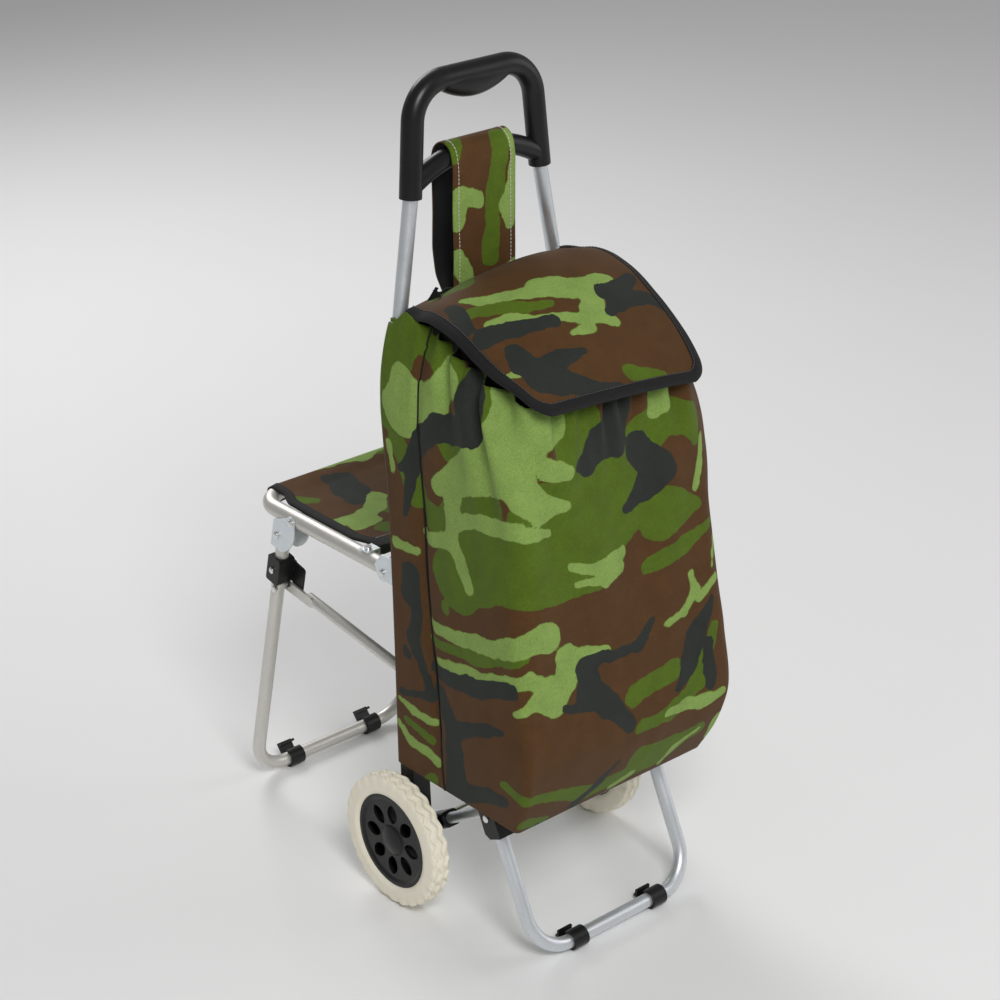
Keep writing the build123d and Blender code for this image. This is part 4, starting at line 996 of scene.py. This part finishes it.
def flap_outline(inset):
    """Flat outline of the lid from its left back corner round the front to the right one."""
    walk = flap_length * (1 - (1 - np.linspace(0, 1, 110)) ** 1.6)
    half = flap_half(walk)
    left = np.stack([-half, walk], axis=1)
    front_half = half[-1]
    front = np.stack([np.linspace(-front_half, front_half, 60)[1:-1], np.full(58, flap_length)], axis=1)
    right = np.stack([half[::-1], walk[::-1]], axis=1)
    line = np.concatenate([left, front, right])
    step = np.gradient(line, axis=0)
    step /= np.maximum(np.linalg.norm(step, axis=1, keepdims=True), 1e-9)
    for _ in range(6):
        step[1:-1] = (step[:-2] + step[1:-1] + step[2:]) / 3
    step /= np.linalg.norm(step, axis=1, keepdims=True)
    inward = np.stack([step[:, 1], -step[:, 0]], axis=1)
    return line + inward * inset


binding_profile = (
    (0.0100, -0.0030), (0.0098, -0.0036), (0.0040, -0.0040), (-0.0008, -0.0034), (-0.0020, -0.0012),
    (-0.0012, 0.0010), (0.0030, 0.0016), (0.0090, 0.0013), (0.0104, 0.0004),
)
edge = []
for inset, lift in binding_profile:
    line = flap_outline(inset)
    edge.append(on_flap(line[:, 0], np.clip(line[:, 1], 0, flap_length * 1.02), lift))
binding = grid_piece("lid_binding", np.stack(edge, axis=1), [tape])
face_outwards(binding)
for piece in (lid, binding):
    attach(piece, "flap")
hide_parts("flap")
lid_stitch = flap_outline(0.0085)
lid_stitch = on_flap(lid_stitch[:, 0], lid_stitch[:, 1], 0.0017)
stitch_row("lid_stitches", "flap", lid_stitch, black_thread, Thread=0.0004)

# ---------------------------------------------------------------- strap loop over the handle's crossbar
strap_half = strap_high.x - 0.0005
strap_rows, strap_columns = 150, 26
front_y, back_y = strap_low.y, strap_high.y
STRAP = (
    (front_y, 0.700), (front_y, 0.740), (front_y + 0.001, 0.790), (front_y, 0.835),
    (front_y + 0.004, strap_high.z - 0.007), (front_y + 0.012, strap_high.z - 0.001),
    ((front_y + back_y) / 2 + 0.002, strap_high.z), (back_y - 0.012, strap_high.z - 0.002),
    (back_y - 0.003, strap_high.z - 0.010), (back_y, 0.835), (back_y - 0.002, 0.790),
    (back_y - 0.001, 0.740), (back_y - 0.006, 0.712), (front_y + 0.016, strap_low.z + 0.002),
    (front_y + 0.004, strap_low.z + 0.001),
)


def resample(profile, count):
    """Even points along a profile, with the distance walked to each."""
    reach = np.concatenate([[0], np.cumsum(np.hypot(*np.diff(profile, axis=0).T))])
    walk = np.linspace(0, reach[-1], count)
    return walk, np.stack([np.interp(walk, reach, profile[:, k]) for k in (0, 1)], axis=1)


walk, strap_line = resample(np.array(STRAP + STRAP[:1]), strap_rows)
strap_y, strap_z = strap_line.T
for _ in range(6):
    strap_y = (np.roll(strap_y[:-1], 1) + strap_y[:-1] * 2 + np.roll(strap_y[:-1], -1)) / 4
    strap_z = (np.roll(strap_z[:-1], 1) + strap_z[:-1] * 2 + np.roll(strap_z[:-1], -1)) / 4
    strap_y, strap_z = np.append(strap_y, strap_y[0]), np.append(strap_z, strap_z[0])
strap_x = np.tile(np.linspace(-1, 1, strap_columns) * strap_half, (strap_rows, 1))


def over_strap(along):
    """The same values in every column of the strap."""
    return np.tile(along[:, None], (1, strap_columns))


strap_grid = np.stack([strap_x, over_strap(strap_y), over_strap(strap_z)], axis=2)
free = smooth_step(np.abs(strap_grid[..., 2] - 0.775), 0.065, 0.02)
strap_grid[..., 1] += 0.0016 * free * wander(strap_grid * (1, 1, 0.6), 0.03, 41.0)
strap_grid[..., 0] *= 1 + 0.012 * free * wander(strap_grid * (0.2, 1, 1), 0.05, 42.0)
strap_flat = np.stack([strap_x, over_strap(walk)], axis=2)
strap = grid_piece("strap_band", strap_grid, [camouflage, lining], flat=strap_flat)
print_cloth(strap, strap_flat, STRAP_PRINT, 4.0)
thicken(strap, 0.0016, inside=1)
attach(strap, "frame")
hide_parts("strap_loop")
strap_normal = sheet_normals(strap_grid)
for column, label in ((2, "left"), (-3, "right")):
    row = strap_grid[:, column] + strap_normal[:, column] * 0.0003
    stitch_row(f"strap_stitches_{label}", "frame", row)

# ---------------------------------------------------------------- cloth sleeves round the main tubes
sleeve_low, sleeve_high = 0.565, 0.690


def sleeve_points(side):
    """Sleeve sewn to the bag's back corner: round the tube behind, drawn out towards the bag in front."""
    rows, columns = 50, 40
    height = np.linspace(0, 1, rows)
    angle = np.linspace(0, 2 * math.pi, columns, endpoint=False)
    grid = np.zeros((rows, columns, 3))
    for i, share in enumerate(height):
        for j, turn in enumerate(angle):
            front = max(math.sin(turn), 0)
            top = sleeve_high - 0.030 * (0.5 - 0.5 * math.cos(turn)) * 0.9
            z = sleeve_low + share * (top - sleeve_low)
            radius = 0.0098 + 0.0022 * front + 0.0006 * math.sin(5 * turn + 9 * share)
            x = tube_x(z) + math.cos(turn) * radius
            y = tube_y(z) - math.sin(turn) * radius * (1.0 + 0.25 * front)
            grid[i, j] = (side * x, y, z)
    return grid


for side, label in ((-1, "left"), (1, "right")):
    grid = sleeve_points(side)
    if side > 0:
        grid = grid[:, ::-1]
    sleeve = grid_piece(f"tube_sleeve_cloth_{label}", grid, [camouflage, lining], wrap=True)
    print_cloth(sleeve, grid[..., 1:] + (-0.27, 0), BAG_PRINT, 2.0)
    thicken(sleeve, 0.0010, inside=1)
    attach(sleeve, "frame")
    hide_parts(f"tube_sleeve_{label}")
    rim_centre = grid[-3].mean(axis=0)
    rim_line = rim_centre + (grid[-3] - rim_centre) * 1.03
    stitch_row(f"sleeve_stitches_{label}", "frame", rim_line, closed=True)

# ---------------------------------------------------------------- seat sling
cross_y, cross_z = (cross_low.y + cross_high.y) / 2, (cross_low.z + cross_high.z) / 2
cross_radius = (cross_high.z - cross_low.z) / 2
rear_radius = (seat_high.z - seat_low.z) / 2
rear_y, rear_z = seat_high.y - rear_radius, (seat_high.z + seat_low.z) / 2
cloth_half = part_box("seat_cloth")[1].x + 0.004
loop_half = side_x - 0.018
cloth_gap = 0.0009


def sling_profile(rear_back, stretch):
    """Side view of the sling: round the front bar, back over the rear bar and under it."""
    front_r, rear_r = cross_radius + cloth_gap, rear_radius + cloth_gap
    points = []
    for degrees in range(-150, 91, 12):
        a = math.radians(degrees)
        points.append((cross_y - math.cos(a) * front_r, cross_z + math.sin(a) * front_r))
    start, end = points[-1], (rear_back, rear_z + rear_r)
    for share in np.linspace(0, 1, 42)[1:-1]:
        sag = 0.0022 * math.sin(share * math.pi) ** 0.8
        y, z = (first + (last - first) * share for first, last in zip(start, end))
        points.append((y, z - sag))
    for degrees in range(90, -151, -10):
        a = math.radians(degrees)
        points.append((rear_back + math.cos(a) * rear_r * stretch, rear_z + math.sin(a) * rear_r))
    return np.array(points)


sling_rows = 170
sling_columns = np.linspace(-1, 1, 90)
seat_bend = 0.034
bar_half = side_x - seat_bend
fine_walk, fine = resample(sling_profile(rear_y, 1.0), sling_rows)
sling_grid = np.zeros((sling_rows, len(sling_columns), 3))
for column, share in enumerate(sling_columns):
    narrowed = abs(share) * loop_half
    into_bend = min(max(narrowed - bar_half, 0) / seat_bend, 0.8)
    turn = math.asin(into_bend)
    bend_back = seat_bend * (1 - math.cos(turn))
    side_line = resample(sling_profile(rear_y - bend_back, 1 / math.cos(turn)), sling_rows)[1]
    narrow = smooth_step(side_line[:, 0], rear_y - 0.050, rear_y - 0.022)
    tucked = 1 - smooth_step(side_line[:, 0], cross_y + 0.012, cross_y + 0.040)
    width = cloth_half + (loop_half - cloth_half) * narrow - 0.005 * tucked
    sling_grid[:, column, 0] = share * width
    sling_grid[:, column, 1:] = side_line
before_rear = 1 - smooth_step(fine[:, 0], rear_y - 0.03, rear_y - 0.006)
on_span = (smooth_step(fine[:, 0], cross_y + 0.006, cross_y + 0.03) * before_rear)[:, None]
dip = 0.0030 * (1 - sling_columns ** 2)[None, :] * on_span
sling_grid[..., 2] -= dip - 0.0010 * wander(sling_grid, 0.05, 51.0) * on_span
sling_grid[..., 2] += 0.0007 * wander(sling_grid * (3, 0.5, 1), 0.05, 52.0) * on_span
sling_flat = np.stack([
    sling_grid[..., 0], np.tile(fine_walk[:, None], (1, len(sling_columns))),
], axis=2)
sling = grid_piece("seat_sling", sling_grid, [camouflage, lining], flat=sling_flat)
print_cloth(sling, sling_grid[..., :2], SEAT_PRINT, 6.0)
thicken(sling, 0.0013, inside=1)
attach(sling, "seat")
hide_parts("seat_cloth")
sling_normal = sheet_normals(sling_grid)
hem_rows = slice(14, 150)
for sign, label in ((-1, "left"), (1, "right")):
    index = 0 if sign < 0 else -1
    inner = 5 if sign < 0 else -6
    rim = sling_grid[hem_rows, index]
    inside = sling_grid[hem_rows, inner]
    up = sling_normal[hem_rows, index]
    profile_rows = [
        inside + up * 0.0006, inside + up * 0.0010, rim + up * 0.0012,
        rim + (rim - inside) * 0.12 - up * 0.0004, rim - up * 0.0024, inside - up * 0.0024,
    ]
    hem = grid_piece(f"seat_hem_{label}", np.stack(profile_rows, axis=1), [tape])
    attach(hem, "seat")
across_seat = int(np.argmin(np.abs(fine[:, 0] - (cross_y + 0.019))))
front_row = (sling_grid + sling_normal * 0.0004)[across_seat, 3:-3]
stitch_row("seat_front_stitches", "seat", front_row)


# ---------------------------------------------------------------- foam tyres
def tyre_points(centre_x, side, inner_r, outer_r, width):
    """Tyre with three rows of zigzag ridges; side is the way its outer face points."""
    turns, rows, teeth = 432, 44, 27
    around = np.arange(turns) / turns * 2 * math.pi
    # section from the inner lip over the tread to the outer lip: across from -1 to 1
    half = width / 2
    walk = np.linspace(0, 1, rows)
    flank = (
        (half - 0.002, inner_r), (half, inner_r + 0.004), (half - 0.0003, outer_r - 0.012),
        (half - 0.0022, outer_r - 0.0050), (half * 0.55, outer_r - 0.0034),
    )
    section = np.array([(-x, r) for x, r in flank] + [(0, outer_r - 0.0030)] + list(reversed(flank)))
    reach = np.concatenate([[0], np.cumsum(np.hypot(*np.diff(section, axis=0).T))])
    reach /= reach[-1]
    across = soft_curve(walk, reach, section[:, 0])
    radius = soft_curve(walk, reach, section[:, 1])
    tread = smooth_step(radius, outer_r - 0.0165, outer_r - 0.0075)
    phase = around * teeth
    zig = 2 * np.abs((phase / (2 * math.pi)) % 1 - 0.5) * 2 - 1
    lean_row = across / half
    # ridges: three wavy bands across the tread, scalloped where they reach the sides
    wave = np.cos((lean_row[:, None] * 2.4 + 0.50 * zig[None, :]) * math.pi)
    ridge = smooth_step(wave, -0.45, 0.45) * 0.0027
    at_sides = smooth_step(np.abs(lean_row), 0.62, 0.98)[:, None]
    scallop = 0.0024 * (0.5 + 0.5 * np.cos(phase + side * 0.4))[None, :] * at_sides
    lift = (ridge + scallop * 0.75) * tread[:, None] - 0.0006 * tread[:, None]
    r = np.minimum(radius[:, None] + lift, outer_r)
    bulge = scallop * 0.35 * tread[:, None] * np.sign(lean_row)[:, None]
    x = centre_x + side * (across[:, None] + np.clip(bulge, -0.0010, 0.0010))
    return np.stack([
        np.broadcast_to(x, r.shape), axle.y + r * np.cos(around), axle.z + r * np.sin(around),
    ], axis=2)


for side, label in ((-1, "left"), (1, "right")):
    low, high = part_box(f"tyre_{label}")
    hub_low, hub_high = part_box(f"hub_{label}")
    inner_r = (hub_high.z - hub_low.z) / 2 + 0.0001
    points = tyre_points((low.x + high.x) / 2, side, inner_r, (high.z - low.z) / 2, high.x - low.x)
    points = np.concatenate([points, points[:1]], axis=0)
    tyre = grid_piece(f"foam_tyre_{label}", points, [foam], wrap=True)
    face_outwards(tyre)
    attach(tyre, f"wheel_{label}")
    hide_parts(f"tyre_{label}")


# ---------------------------------------------------------------- domed heads on rivets and bolts
def head_places(node):
    """Centre of each outer face that a node's rivets show, found from the node's own mesh."""
    head_reach = 0.012
    spots = {}
    for vertex in nodes[node].data.vertices:
        spots.setdefault(vertex.co.x > 0, []).append(vertex.co)
    found = []
    for group in spots.values():
        far = max(abs(place.x) for place in group)
        face = [place for place in group if abs(abs(place.x) - far) < 0.0002]
        while face:
            seed = face[0]
            near = [place for place in face if (place - seed).length < head_reach]
            face = [place for place in face if (place - seed).length >= head_reach]
            low = [min(place[k] for place in near) for k in range(3)]
            high = [max(place[k] for place in near) for k in range(3)]
            found.append(tuple((low[k] + high[k]) / 2 for k in range(3)))
    return found


for node, body, radius in (
    ("foot_rivets", "frame", 0.0044), ("seat_hinge_rivets", "frame", 0.0044),
    ("leg_pivot_rivets", "seat", 0.0044), ("leg_plate_rivets", "rear_leg", 0.0044),
    ("brace_rivets", "frame", 0.0044), ("brace_pegs", "rear_leg", 0.0044),
    ("brace_clip_screws", "rear_leg", 0.0037),
):
    domes = path_curve(f"{node}_domes", head_places(node))
    grow(domes, heads, Material=bright, Radius=radius)
    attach(domes, body)

# ---------------------------------------------------------------- cloth facts
for label in ("left", "right"):
    piece = bpy.data.objects[f"tube_sleeve_cloth_{label}"]
